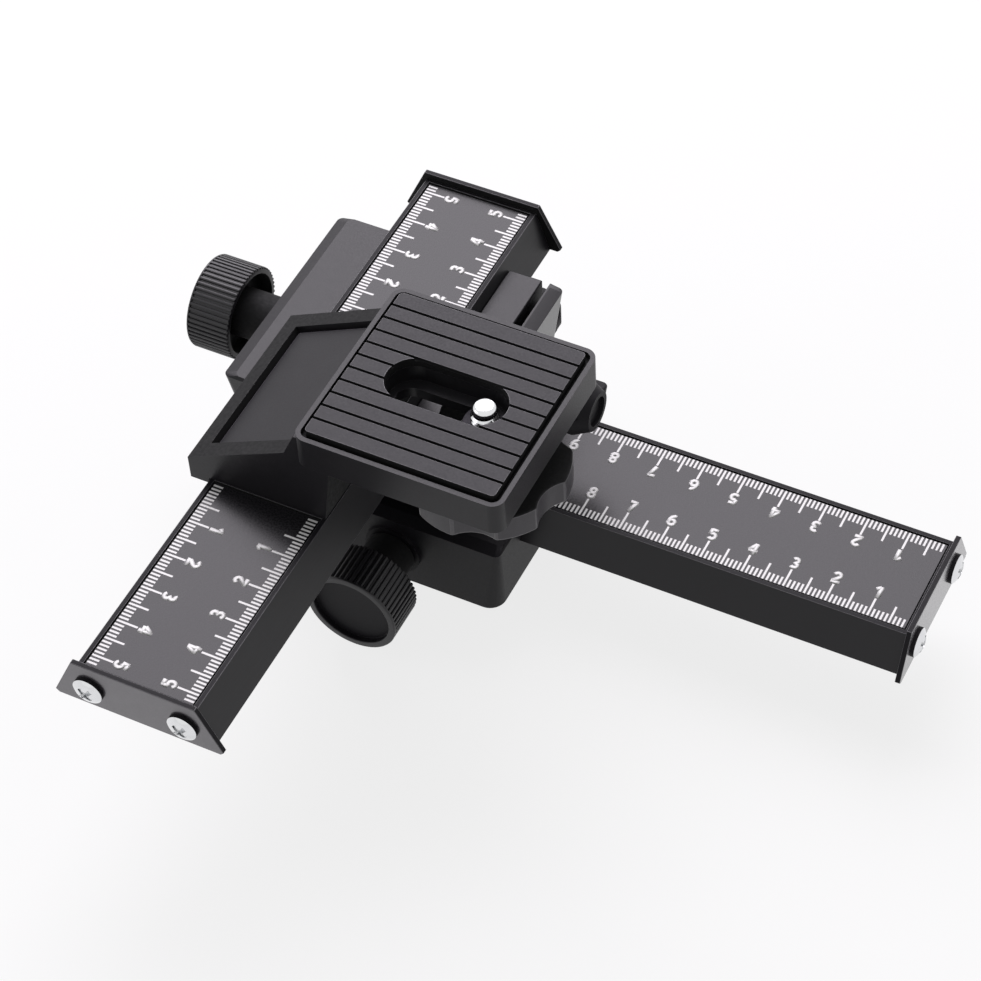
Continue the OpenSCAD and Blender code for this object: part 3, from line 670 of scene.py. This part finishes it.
class RAIL_OT_carriages(bpy.types.Operator):
    """Finishes both carriages with their gibs, bushes and the tripod insert"""

    bl_idname = "focusing_rail.carriages"
    bl_label = "Carriages"

    def execute(self, context):
        rail_x = middle("upper_rail").x
        # the wall leans by its draft, so less of its normal points straight out
        wall_facing = 0.9

        def unmilled(centre, normal):
            return normal.z < FACING

        def on_chamfer(centre, normal):
            return LEANING < normal.z < FACING and centre.x < rail_x

        def on_lock_wall(centre, normal):
            return normal.x > wall_facing and centre.x > rail_x

        picks = ((on_chamfer, "panel"), (on_lock_wall, "polished"))
        # the lower carriage takes the darker matt paint all over, as painted shade under the stage above
        self.carriage("lower", "shade_matt")
        self.carriage("upper", "casting", picks)
        # the gibs' faces that do not face up take the darker matt paint, as painted shade
        dress_nodes(("base_gib", "upper_gib"), "casting", 0.3, ((unmilled, "shade_matt"),))
        dress_nodes(("base_bushes", "upper_bushes", "tripod_insert"), "brass", 0.15)
        return {"FINISHED"}

    def carriage(self, stage, finish_name, picks=()):
        """One carriage, whose long chamfer over the focus knob is laid back as the casting has it."""
        inward = stage_matrix(stage).inverted()
        knob_side = local_box(stage, CARRIAGES[stage])[0].y
        shortest = 20 * MM
        chamfer_reach = 8 * MM
        laid_back = 1.9 * MM
        level = 0.99

        def is_chamfer_top(edge):
            if len(edge.link_faces) != 2 or edge.calc_length() < shortest:
                return False
            flatter, steeper = sorted((face.normal.z for face in edge.link_faces), reverse=True)
            beside_knob = all((inward @ vert.co).y < knob_side + chamfer_reach for vert in edge.verts)
            return flatter > level and LEANING < steeper < FACING and beside_knob

        def lay_back(bm):
            round_edges(bm, [edge for edge in bm.edges if is_chamfer_top(edge)], laid_back, 1)

        dress(CARRIAGES[stage], finish_name, 0.4, degrees=40, picks=picks, shape=lay_back)


class RAIL_OT_rails(bpy.types.Operator):
    """Finishes both rails with their racks, scale plates and end plates"""

    bl_idname = "focusing_rail.rails"
    bl_label = "Rails"

    def execute(self, context):
        self.rail("lower", "rail_x")
        self.rail("upper", "rail_y")
        for node in ("lower_scale", "upper_scale_front", "upper_scale_back"):
            coat(node, "scale")
        for side in ("lower_end_plate_left", "lower_end_plate_right"):
            self.end_plate("lower", side)
        for side in ("upper_end_plate_front", "upper_end_plate_back"):
            self.end_plate("upper", side)
        for node in ("lower_rack", "upper_rack"):
            coat(node, "steel")
        return {"FINISHED"}

    def end_plate(self, stage, node):
        """One stamped end plate: lacquered outside, painted shade inside, and dull sheared edges whose darker
        colour is painted shade.
        """
        outward = middle(node) - middle(f"{stage}_rail")
        outward.z = 0
        outward.normalize()

        def outside(centre, normal):
            return normal.dot(outward) > FACING

        def inside(centre, normal):
            return normal.dot(outward) < -FACING

        # painted shade on the inner face and, in the darker matt paint, on the edges
        dress(node, "shade_matt", 0.15, picks=((outside, "plate"), (inside, "painted_shade")))

    def rail(self, stage, finish_name):
        """One rail, with painted shade in the recess round its scale plates and on the rim beside them."""
        node = f"{stage}_rail"
        inward = stage_matrix(stage).inverted()
        top = local_box(stage, node)[1].z
        scale = "lower_scale" if stage == "lower" else "upper_scale_front"
        recess_half = local_box(stage, scale)[1].y + 0.6 * MM
        recess_depth = 1.0 * MM

        def in_recess(centre, normal):
            local = inward @ centre
            return top - recess_depth < local.z < top - TOP_SKIN and abs(local.y) < recess_half

        def on_rim(centre, normal):
            return normal.z > FACING and (inward @ centre).z > top - TOP_SKIN

        # painted shade: near-black in the recess, the darker matt paint on the rim
        dress(node, finish_name, 0.25, picks=((in_recess, "painted_shade"), (on_rim, "shade_matt")))


class RAIL_OT_fasteners(bpy.types.Operator):
    """Finishes the screws that hold the object together"""

    bl_idname = "focusing_rail.fasteners"
    bl_label = "Fasteners"

    def end_screws(self, node, across):
        """Four plated heads, their flanks darker as painted shade. The across axis is the one from screw to
        screw.
        """
        low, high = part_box(node)
        radius = (high.z - low.z) / 2
        flank_radius = 0.9 * radius

        def on_flank(centre, normal):
            place = centre[across]
            aside = min(abs(place - low[across] - radius), abs(place - high[across] + radius))
            outermost = math.hypot(aside, centre.z - low.z - radius) > flank_radius
            return outermost and abs(normal[1 - across]) < 0.5

        # the flanks take the darker plating, as painted shade
        dress(node, "plating", 0, picks=((on_flank, "flank"),))

    def execute(self, context):
        self.end_screws("lower_end_screws", 1)
        self.end_screws("upper_end_screws", 0)
        dress_nodes(("upper_carriage_screws", "platform_screws"), "steel", 0.15)
        for node in ("lower_set_screw", "upper_set_screw"):
            coat(node, "steel")
        return {"FINISHED"}


# ---------------------------------------------------------------- drive and lock


class RAIL_OT_focus_knobs(bpy.types.Operator):
    """Makes both ribbed focus knobs and finishes their shafts and pinions"""

    bl_idname = "focusing_rail.focus_knobs"
    bl_label = "Focus Knobs"

    def execute(self, context):
        sizes = context.scene.rail_knobs
        for stage in TURNS:
            self.knob(stage, sizes)
            coat(f"{stage}_shaft", "steel")
            coat(f"{stage}_pinion", "brass")
        return {"FINISHED"}

    def knob(self, stage, sizes):
        """One knob: a turned drum with a dished face, ringed with rounded ribs."""
        node = f"{stage}_focus_knob"
        low, high = local_box(stage, node)
        radius = (high.z - low.z) / 2
        depth = high.y - low.y
        length = sizes.drum_length
        hub = sizes.hub_radius
        edge = 0.3 * MM
        rim_rounding = 0.4 * MM
        drum = radius - sizes.rib_height
        inner = radius - rim_rounding - sizes.rim
        bm = turned(
            [
                (0, -sizes.dish),
                (inner - edge, -sizes.dish),
                (inner, -sizes.dish + edge / 2),
                (inner, -edge),
                (inner + edge / 3, -edge / 3),
                (inner + 0.8 * edge, 0),
                (radius - 1.4 * edge, 0),
                (radius - 0.4 * edge, -0.4 * edge),
                (radius, -1.2 * edge),
                (radius, -sizes.collar),
                (drum, -sizes.collar - 0.2 * MM),
                (drum, -length + edge),
                (drum - edge / 3, -length + edge / 3),
                (drum - edge, -length),
                (inner + edge, -length),
                (inner + edge / 2, -length + edge),
                (inner, -length + sizes.back_hollow),
                (hub, -length + sizes.back_hollow),
                (hub, -depth + edge / 2),
                (hub - edge / 2, -depth),
                (0, -depth),
            ],
            96,
        )
        pitch = FULL * drum / sizes.ribs
        rib_width = 0.64 * pitch
        rib_rounding = 0.85 * sizes.rib_height
        rib_start = 0.5 * sizes.collar
        rib_place = Matrix.Translation((drum, 0, -(rib_start + length) / 2))
        rib_size = (2 * sizes.rib_height, rib_width, length - rib_start)
        # painted shade: the dish takes the darker matt paint, the back and hub the near-black finish
        for face in bm.faces:
            centre = face.calc_center_median()
            in_dish = centre.xy.length < inner + 0.1 * MM and -centre.z < sizes.dish + edge
            behind = centre.xy.length < inner + edge and -centre.z > length - sizes.back_hollow - edge
            face.material_index = 1 if in_dish else 2 if behind else 0
        rib = bar(bm, rib_size, rib_place, rib_rounding)
        ring_of(bm, rib, sizes.ribs)
        bmesh.ops.transform(bm, matrix=knob_matrix(stage, node), verts=bm.verts)
        finishes = ("plastic", "shade_matt", "painted_shade")
        replaced = [node, f"{stage}_knob_disc"]
        settle(bm, f"{stage}_ribbed_knob", f"{stage}_knob", finishes, replaced)


class RAIL_OT_lock_knobs(bpy.types.Operator):
    """Finishes both lobed lock knobs and their screws"""

    bl_idname = "focusing_rail.lock_knobs"
    bl_label = "Lock Knobs"

    def execute(self, context):
        for stage in TURNS:
            # the lobes take the darker matt paint, as painted shade
            dress(f"{stage}_lock_knob", "shade_matt", 0.35, segments=3)
            coat(f"{stage}_lock_screw", "steel")
        return {"FINISHED"}


# ---------------------------------------------------------------- platform


class RAIL_OT_platform(bpy.types.Operator):
    """Finishes the camera platform, its blank front panel and the rubber pad"""

    bl_idname = "focusing_rail.platform"
    bl_label = "Camera Platform"

    def execute(self, context):
        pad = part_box("rubber_pad")
        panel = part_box("front_panel")
        widest = max(frame["nodes"]["front_panel"].data.polygons, key=lambda polygon: polygon.area)
        slope = widest.normal if widest.normal.z > 0 else -widest.normal
        pocket_floor = pad[0].z - 0.1 * MM
        pocket_top = pad[1].z - 1.0 * MM
        deck_foot = pad[0].z - 9 * MM
        # how much of a slope's normal points along X
        aside = 0.3

        def in_pocket(centre, normal):
            rubbed = 0.1 < normal.z < FACING and within(centre, pad, -3 * MM)
            under_pad = within(centre, pad, 1.2 * MM) and pocket_floor < centre.z < pocket_top
            beside_panel = within(centre, panel, 0.5 * MM) and not LEANING < normal.dot(slope) < 0.95
            return under_pad and not rubbed or beside_panel

        def on_slope(centre, normal):
            return normal.x < -aside and normal.z > LEANING and not in_pocket(centre, normal)

        def under_deck(centre, normal):
            return normal.x > aside and centre.z < deck_foot

        def in_groove(centre, normal):
            return centre.z < pad[1].z - TOP_SKIN

        # painted shade: near-black in the pocket round the pad, beside the panel and under the deck, the
        # darker matt paint on the left slope
        picks = ((in_pocket, "painted_shade"), (on_slope, "shade_matt"), (under_deck, "painted_shade"))
        dress("camera_platform", "casting", 0.4, picks=picks)
        dress("front_panel", "panel", 0.45)
        # painted shade in the grooves of the pad
        dress("rubber_pad", "rubber", 0.15, picks=((in_groove, "painted_shade"),))
        return {"FINISHED"}


class RAIL_OT_camera_screw(bpy.types.Operator):
    """Finishes the camera screw, its thumb wheel, washer and clip"""

    bl_idname = "focusing_rail.camera_screw"
    bl_label = "Camera Screw"

    def execute(self, context):
        def on_top(centre, normal):
            return normal.z > 0.5

        self.threaded_screw(context.scene.rail_screw)
        # painted shade on the wheel's top faces, under the deck
        dress("thumb_wheel", "wheel", 0.5, segments=3, picks=((on_top, "painted_shade"),))
        dress("screw_washer", "plastic", 0.15)
        # the clip takes the darker plating, as painted shade
        coat("screw_clip", "flank")
        return {"FINISHED"}

    def threaded_screw(self, sizes):
        """A domed screw: a turned core, wound with the ridge of its thread."""
        low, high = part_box("camera_screw")
        clip_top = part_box("screw_clip")[1].z
        crest = (high.x - low.x) / 2
        root = crest - sizes.thread_depth
        dome = sizes.dome
        shank = root + 0.1 * MM
        height = high.z - low.z
        start = clip_top - low.z
        bm = turned(
            [
                (0, 0),
                (shank, 0),
                (shank, start),
                (crest, start),
                (crest, start + 0.3 * MM),
                (root, start + 0.5 * MM),
                (root, height - dome - 0.3 * MM),
                (root + 0.1 * MM, height - dome),
                (root + 0.1 * MM, height - 0.7 * dome),
                (root - 0.1 * dome, height - 0.35 * dome),
                (root - 0.45 * dome, height - 0.1 * dome),
                (root - 1.1 * dome, height - 0.02 * dome),
                (0, height),
            ],
            64,
        )
        # the core and thread below the dome take the darker plating, as painted shade
        for face in bm.faces:
            if face.calc_center_median().z < height - dome + 0.05 * MM:
                face.material_index = 1
        ridge_start = start + 0.5 * MM
        turns = (height - dome - 0.3 * MM - ridge_start) / sizes.thread_pitch
        half = 0.42 * sizes.thread_pitch
        # the ridge's section, its foot a little inside the core
        foot = root - 0.1 * MM
        ridge = [
            bm.verts.new((foot, 0, ridge_start - half)),
            bm.verts.new((crest - 0.02 * MM, 0, ridge_start)),
            bm.verts.new((foot, 0, ridge_start + half)),
        ]
        section = bm.faces.new(ridge)
        steps = round(48 * turns)
        bmesh.ops.spin(
            bm,
            geom=[section, *section.edges, *ridge],
            axis=(0, 0, 1),
            cent=(0, 0, 0),
            dvec=(0, 0, turns * sizes.thread_pitch / steps),
            angle=FULL * turns,
            steps=steps,
        )
        centre = middle("camera_screw")
        bmesh.ops.transform(bm, matrix=Matrix.Translation((centre.x, centre.y, low.z)), verts=bm.verts)
        settle(bm, "threaded_camera_screw", "camera_screw", ("plating", "flank"), ["camera_screw"])


# ---------------------------------------------------------------- printed scales


# The strokes of each figure, in halves of its height from its middle. A pair is a point, and six
# numbers are an arc: its middle, its two radii and the angles where it starts and ends.
FIGURES = {
    "0": [[(0, 0, 0.42, 0.79, 90, 450)]],
    "1": [[(0.12, -1.0), (0.12, 1.0)], [(-0.5, 0.38), (0.1, 0.84)]],
    "2": [[(0, 0.37, 0.42, 0.42, 170, -40), (-0.44, -0.7)], [(-0.62, -0.79), (0.62, -0.79)]],
    "3": [[(-0.02, 0.4, 0.38, 0.39, 150, -90), (-0.02, -0.39, 0.44, 0.4, 90, -150)]],
    "4": [[(0.22, -1.0), (0.22, 1.0)], [(0.2, 0.86), (-0.56, -0.36)], [(-0.66, -0.38), (0.62, -0.38)]],
    "5": [[(-0.4, 0.79), (0.52, 0.79)], [(-0.3, 1.0), (-0.36, -0.02)], [(0, -0.3, 0.44, 0.49, 140, -150)]],
    "6": [[(0.12, -0.33, 0.56, 1.12, 70, 180)], [(0, -0.33, 0.44, 0.46, 0, 360)]],
    "7": [[(-0.52, 0.79), (0.56, 0.79)], [(0.38, 0.86), (-0.15, -0.98)]],
    "8": [[(0, 0.41, 0.36, 0.38, 0, 360)], [(0, -0.38, 0.42, 0.41, 0, 360)]],
    "9": [[(-0.12, 0.33, 0.56, 1.12, 250, 360)], [(0, 0.33, 0.44, 0.46, 0, 360)]],
}
# From one figure's middle to the next, in halves of a figure's height.
FIGURE_PITCH = 1.24
# The degrees of an arc that one straight piece of a stroke spans.
ARC_STEP = 30
# The millimetres that a plate may have ticks for, counted from its zero.
TICKS = range(-10, 120)


def stroke_points(part):
    """The points of one part of a stroke."""
    if len(part) == 2:
        return [part]
    x, y, across, up, start, end = part
    steps = round(abs(end - start) / ARC_STEP)
    angles = [math.radians(start + (end - start) * i / steps) for i in range(steps + 1)]
    return [(x + across * math.cos(a), y + up * math.sin(a)) for a in angles]


class RAIL_OT_scales(bpy.types.Operator):
    """Prints centimetre scales along both edges of each scale plate"""

    bl_idname = "focusing_rail.scales"
    bl_label = "Scales"

    def execute(self, context):
        sizes = context.scene.rail_scales
        rail_end = local_box("lower", "lower_rail")[1].x
        low, high = local_box("upper", "upper_rail")
        rail_middle = (low.x + high.x) / 2
        self.print_plate("lower", "lower_scale", rail_end, -1, sizes)
        self.print_plate("upper", "upper_scale_front", rail_middle + sizes.zero, 1, sizes)
        self.print_plate("upper", "upper_scale_back", rail_middle - sizes.zero, -1, sizes)
        return {"FINISHED"}

    def print_plate(self, stage, node, zero, sense, sizes):
        """Ticks and numerals along both edges of one plate, counted from its zero."""
        low, high = local_box(stage, node)
        bm = bmesh.new()
        for count in TICKS:
            along = zero + sense * count * MM
            if not low.x + sizes.stroke < along < high.x - sizes.stroke:
                continue
            length = sizes.tick_length(count)
            for edge in (-1, 1):
                reach = high.y - sizes.edge_margin
                centre = (along, edge * (reach - length / 2), high.z)
                bar(bm, (sizes.stroke, length, 2 * sizes.ink), Matrix.Translation(centre))
                if count > 0 and count % 10 == 0:
                    self.numeral(bm, count // 10, along, edge, high.z, sizes)
        bmesh.ops.transform(bm, matrix=stage_matrix(stage), verts=bm.verts)
        settle(bm, f"{node}_print", f"{stage}_slide", ("ink",), smooth=False)

    def numeral(self, bm, number, along, edge, height, sizes):
        """One number, its foot towards the nearer edge of the plate."""
        unit = sizes.numeral / 2
        figures = str(number)
        curve = bpy.data.curves.new("numeral", "CURVE")
        curve.dimensions = "3D"
        # the coarsest bevel is a square on its side, so this makes it as wide as the stroke
        curve.bevel_depth = sizes.numeral_stroke / math.sqrt(2)
        curve.bevel_resolution = 0
        curve.use_fill_caps = True
        for index, figure in enumerate(figures):
            shift = FIGURE_PITCH * (index - (len(figures) - 1) / 2)
            for stroke in FIGURES[figure]:
                points = [point for part in stroke for point in stroke_points(part)]
                spline = curve.splines.new("POLY")
                spline.points.add(len(points) - 1)
                for place, (x, y) in zip(spline.points, points):
                    place.co = ((x + shift) * unit, y * unit, 0, 1)
        holder = bpy.data.objects.new("numeral", curve)
        mesh = bpy.data.meshes.new_from_object(holder)
        fresh = bmesh.new()
        fresh.from_mesh(mesh)
        flat = sizes.ink / max(vert.co.z for vert in fresh.verts)
        place = (
            Matrix.Translation((along, edge * sizes.numeral_row, height))
            @ Matrix.Rotation(0 if edge < 0 else math.pi, 4, "Z")
            @ Matrix.Diagonal((1.0, 1.0, flat, 1.0))
        )
        bmesh.ops.transform(fresh, matrix=place, verts=fresh.verts)
        fresh.to_mesh(mesh)
        fresh.free()
        bm.from_mesh(mesh)
        bpy.data.objects.remove(holder)
        bpy.data.curves.remove(curve)
        bpy.data.meshes.remove(mesh)


# ---------------------------------------------------------------- camera and light

FLOOR_REACH = 6.0
# The share of the floor that camera, gloss and glass see as plain white. The rest keeps the shadow.
WHITE_SHARE = 0.8
LAMP_COLOUR = (1.0, 0.95, 1.03)
# Each lamp's name, place, width and power in watts.
LAMPS = (
    ("top soft box", (-0.455, 0.767, 0.95), 1.15, 21.5),
    ("side soft box", (-0.9, -0.5, 0.7), 0.6, 1.0),
)


def seen_rays(tree):
    """One for camera, glossy and transmission rays, else nought."""
    rays = add(tree, "ShaderNodeLightPath")
    seen = rays.outputs["Is Camera Ray"]
    for kind in ("Is Glossy Ray", "Is Transmission Ray"):
        either = add(tree, "ShaderNodeMath", {0: seen, 1: rays.outputs[kind]}, operation="MAXIMUM")
        seen = either.outputs["Value"]
    return seen


class RAIL_OT_stage(bpy.types.Operator):
    """Lays the pale floor, sets the lamps and the sky, and places the camera"""

    bl_idname = "focusing_rail.stage"
    bl_label = "Stage"

    def execute(self, context):
        self.floor()
        self.sky(context.scene)
        self.lamps()
        self.camera(context.scene, context.scene.rail_stage)
        return {"FINISHED"}

    def floor(self):
        """A wide pale floor, which the camera sees as nearly white."""
        bm = bmesh.new()
        bmesh.ops.create_grid(bm, x_segments=1, y_segments=1, size=FLOOR_REACH)
        mesh = bpy.data.meshes.new("floor")
        bm.to_mesh(mesh)
        bm.free()
        floor = bpy.data.objects.new("floor", mesh)
        bpy.context.scene.collection.objects.link(floor)
        material, tree, output = start_material("pale studio floor")
        cloth = grain(tree, 30.0)
        colour = blend_hex(tree, cloth, "#f2f2f2", "#f6f6f6")
        surface(tree, output, colour, 0.9, specular=0.1)
        lit = output.inputs["Surface"].links[0].from_socket
        white = add(tree, "ShaderNodeEmission", {"Color": (1, 1, 1, 1), "Strength": 1.0})
        share = add(tree, "ShaderNodeMath", {0: seen_rays(tree), 1: WHITE_SHARE}, operation="MULTIPLY")
        mix = add(tree, "ShaderNodeMixShader", {0: share.outputs["Value"], 1: lit, 2: white.outputs[0]})
        tree.links.new(mix.outputs[0], output.inputs["Surface"])
        mesh.materials.append(material)

    def sky(self, scene):
        """A white backdrop for camera, glossy and transmission rays, and a plain light for the rest."""
        world = bpy.data.worlds.new("studio")
        world.use_nodes = True
        scene.world = world
        tree = world.node_tree
        tree.nodes.clear()
        soft = add(tree, "ShaderNodeBackground", {"Color": (1, 1, 1, 1), "Strength": 0.25})
        white = add(tree, "ShaderNodeBackground", {"Color": (1, 1, 1, 1), "Strength": 1.0})
        mix = add(tree, "ShaderNodeMixShader", {0: seen_rays(tree), 1: soft.outputs[0], 2: white.outputs[0]})
        add(tree, "ShaderNodeOutputWorld", {"Surface": mix.outputs[0]})

    def lamps(self):
        """A bright soft box above and behind, which the top faces mirror, and a weak one from the left."""
        for name, place, size, power in LAMPS:
            lamp = bpy.data.lights.new(name, "AREA")
            lamp.size = size
            lamp.energy = power
            lamp.color = LAMP_COLOUR
            holder = bpy.data.objects.new(name, lamp)
            holder.location = place
            holder.rotation_euler = (-Vector(place)).to_track_quat("-Z", "Y").to_euler()
            bpy.context.scene.collection.objects.link(holder)

    def camera(self, scene, settings):
        """The camera of the photograph."""
        data = bpy.data.cameras.new("camera")
        data.sensor_width = 36
        data.lens = settings.lens
        data.clip_start = 0.01
        data.clip_end = 20
        holder = bpy.data.objects.new("camera", data)
        scene.collection.objects.link(holder)
        holder.matrix_world = (
            Matrix.Translation(settings.camera_place)
            @ Matrix.Rotation(settings.azimuth, 4, "Z")
            @ Matrix.Rotation(settings.tilt, 4, "X")
            @ Matrix.Rotation(settings.roll, 4, "Z")
        )
        scene.camera = holder
        scene.view_settings.view_transform = "Standard"


OPERATORS = (
    RAIL_OT_carriages,
    RAIL_OT_rails,
    RAIL_OT_fasteners,
    RAIL_OT_focus_knobs,
    RAIL_OT_lock_knobs,
    RAIL_OT_platform,
    RAIL_OT_camera_screw,
    RAIL_OT_scales,
    RAIL_OT_stage,
)


GROUPS = {
    "rail_knobs": KnobSizes,
    "rail_screw": ScrewSizes,
    "rail_scales": ScaleSizes,
    "rail_stage": StageSettings,
}


class RAIL_PT_panel(bpy.types.Panel):
    """Lists the steps that build the finished focusing rail"""

    bl_idname = "RAIL_PT_panel"
    bl_label = "Focusing Rail"
    bl_space_type = "VIEW_3D"
    bl_region_type = "UI"
    bl_category = "Focusing Rail"

    def draw(self, context):
        for operator in OPERATORS:
            self.layout.operator(operator.bl_idname)
        for group in GROUPS:
            settings = getattr(context.scene, group)
            for name in settings.bl_rna.properties.keys():
                if name not in ("rna_type", "name"):
                    self.layout.prop(settings, name)


def register():
    """Registers the settings, the operators and the panel."""
    for name, group in GROUPS.items():
        bpy.utils.register_class(group)
        setattr(bpy.types.Scene, name, PointerProperty(type=group))
    for operator in (*OPERATORS, RAIL_PT_panel):
        bpy.utils.register_class(operator)


def unregister():
    """Removes what register made."""
    for operator in reversed((*OPERATORS, RAIL_PT_panel)):
        bpy.utils.unregister_class(operator)
    for name, group in reversed(GROUPS.items()):
        delattr(bpy.types.Scene, name)
        bpy.utils.unregister_class(group)


def main():
    """Builds every piece in order."""
    register()
    bpy.ops.focusing_rail.carriages()
    bpy.ops.focusing_rail.rails()
    bpy.ops.focusing_rail.fasteners()
    bpy.ops.focusing_rail.focus_knobs()
    bpy.ops.focusing_rail.lock_knobs()
    bpy.ops.focusing_rail.platform()
    bpy.ops.focusing_rail.camera_screw()
    bpy.ops.focusing_rail.scales()
    bpy.ops.focusing_rail.stage()


if __name__ == "__main__":
    main()
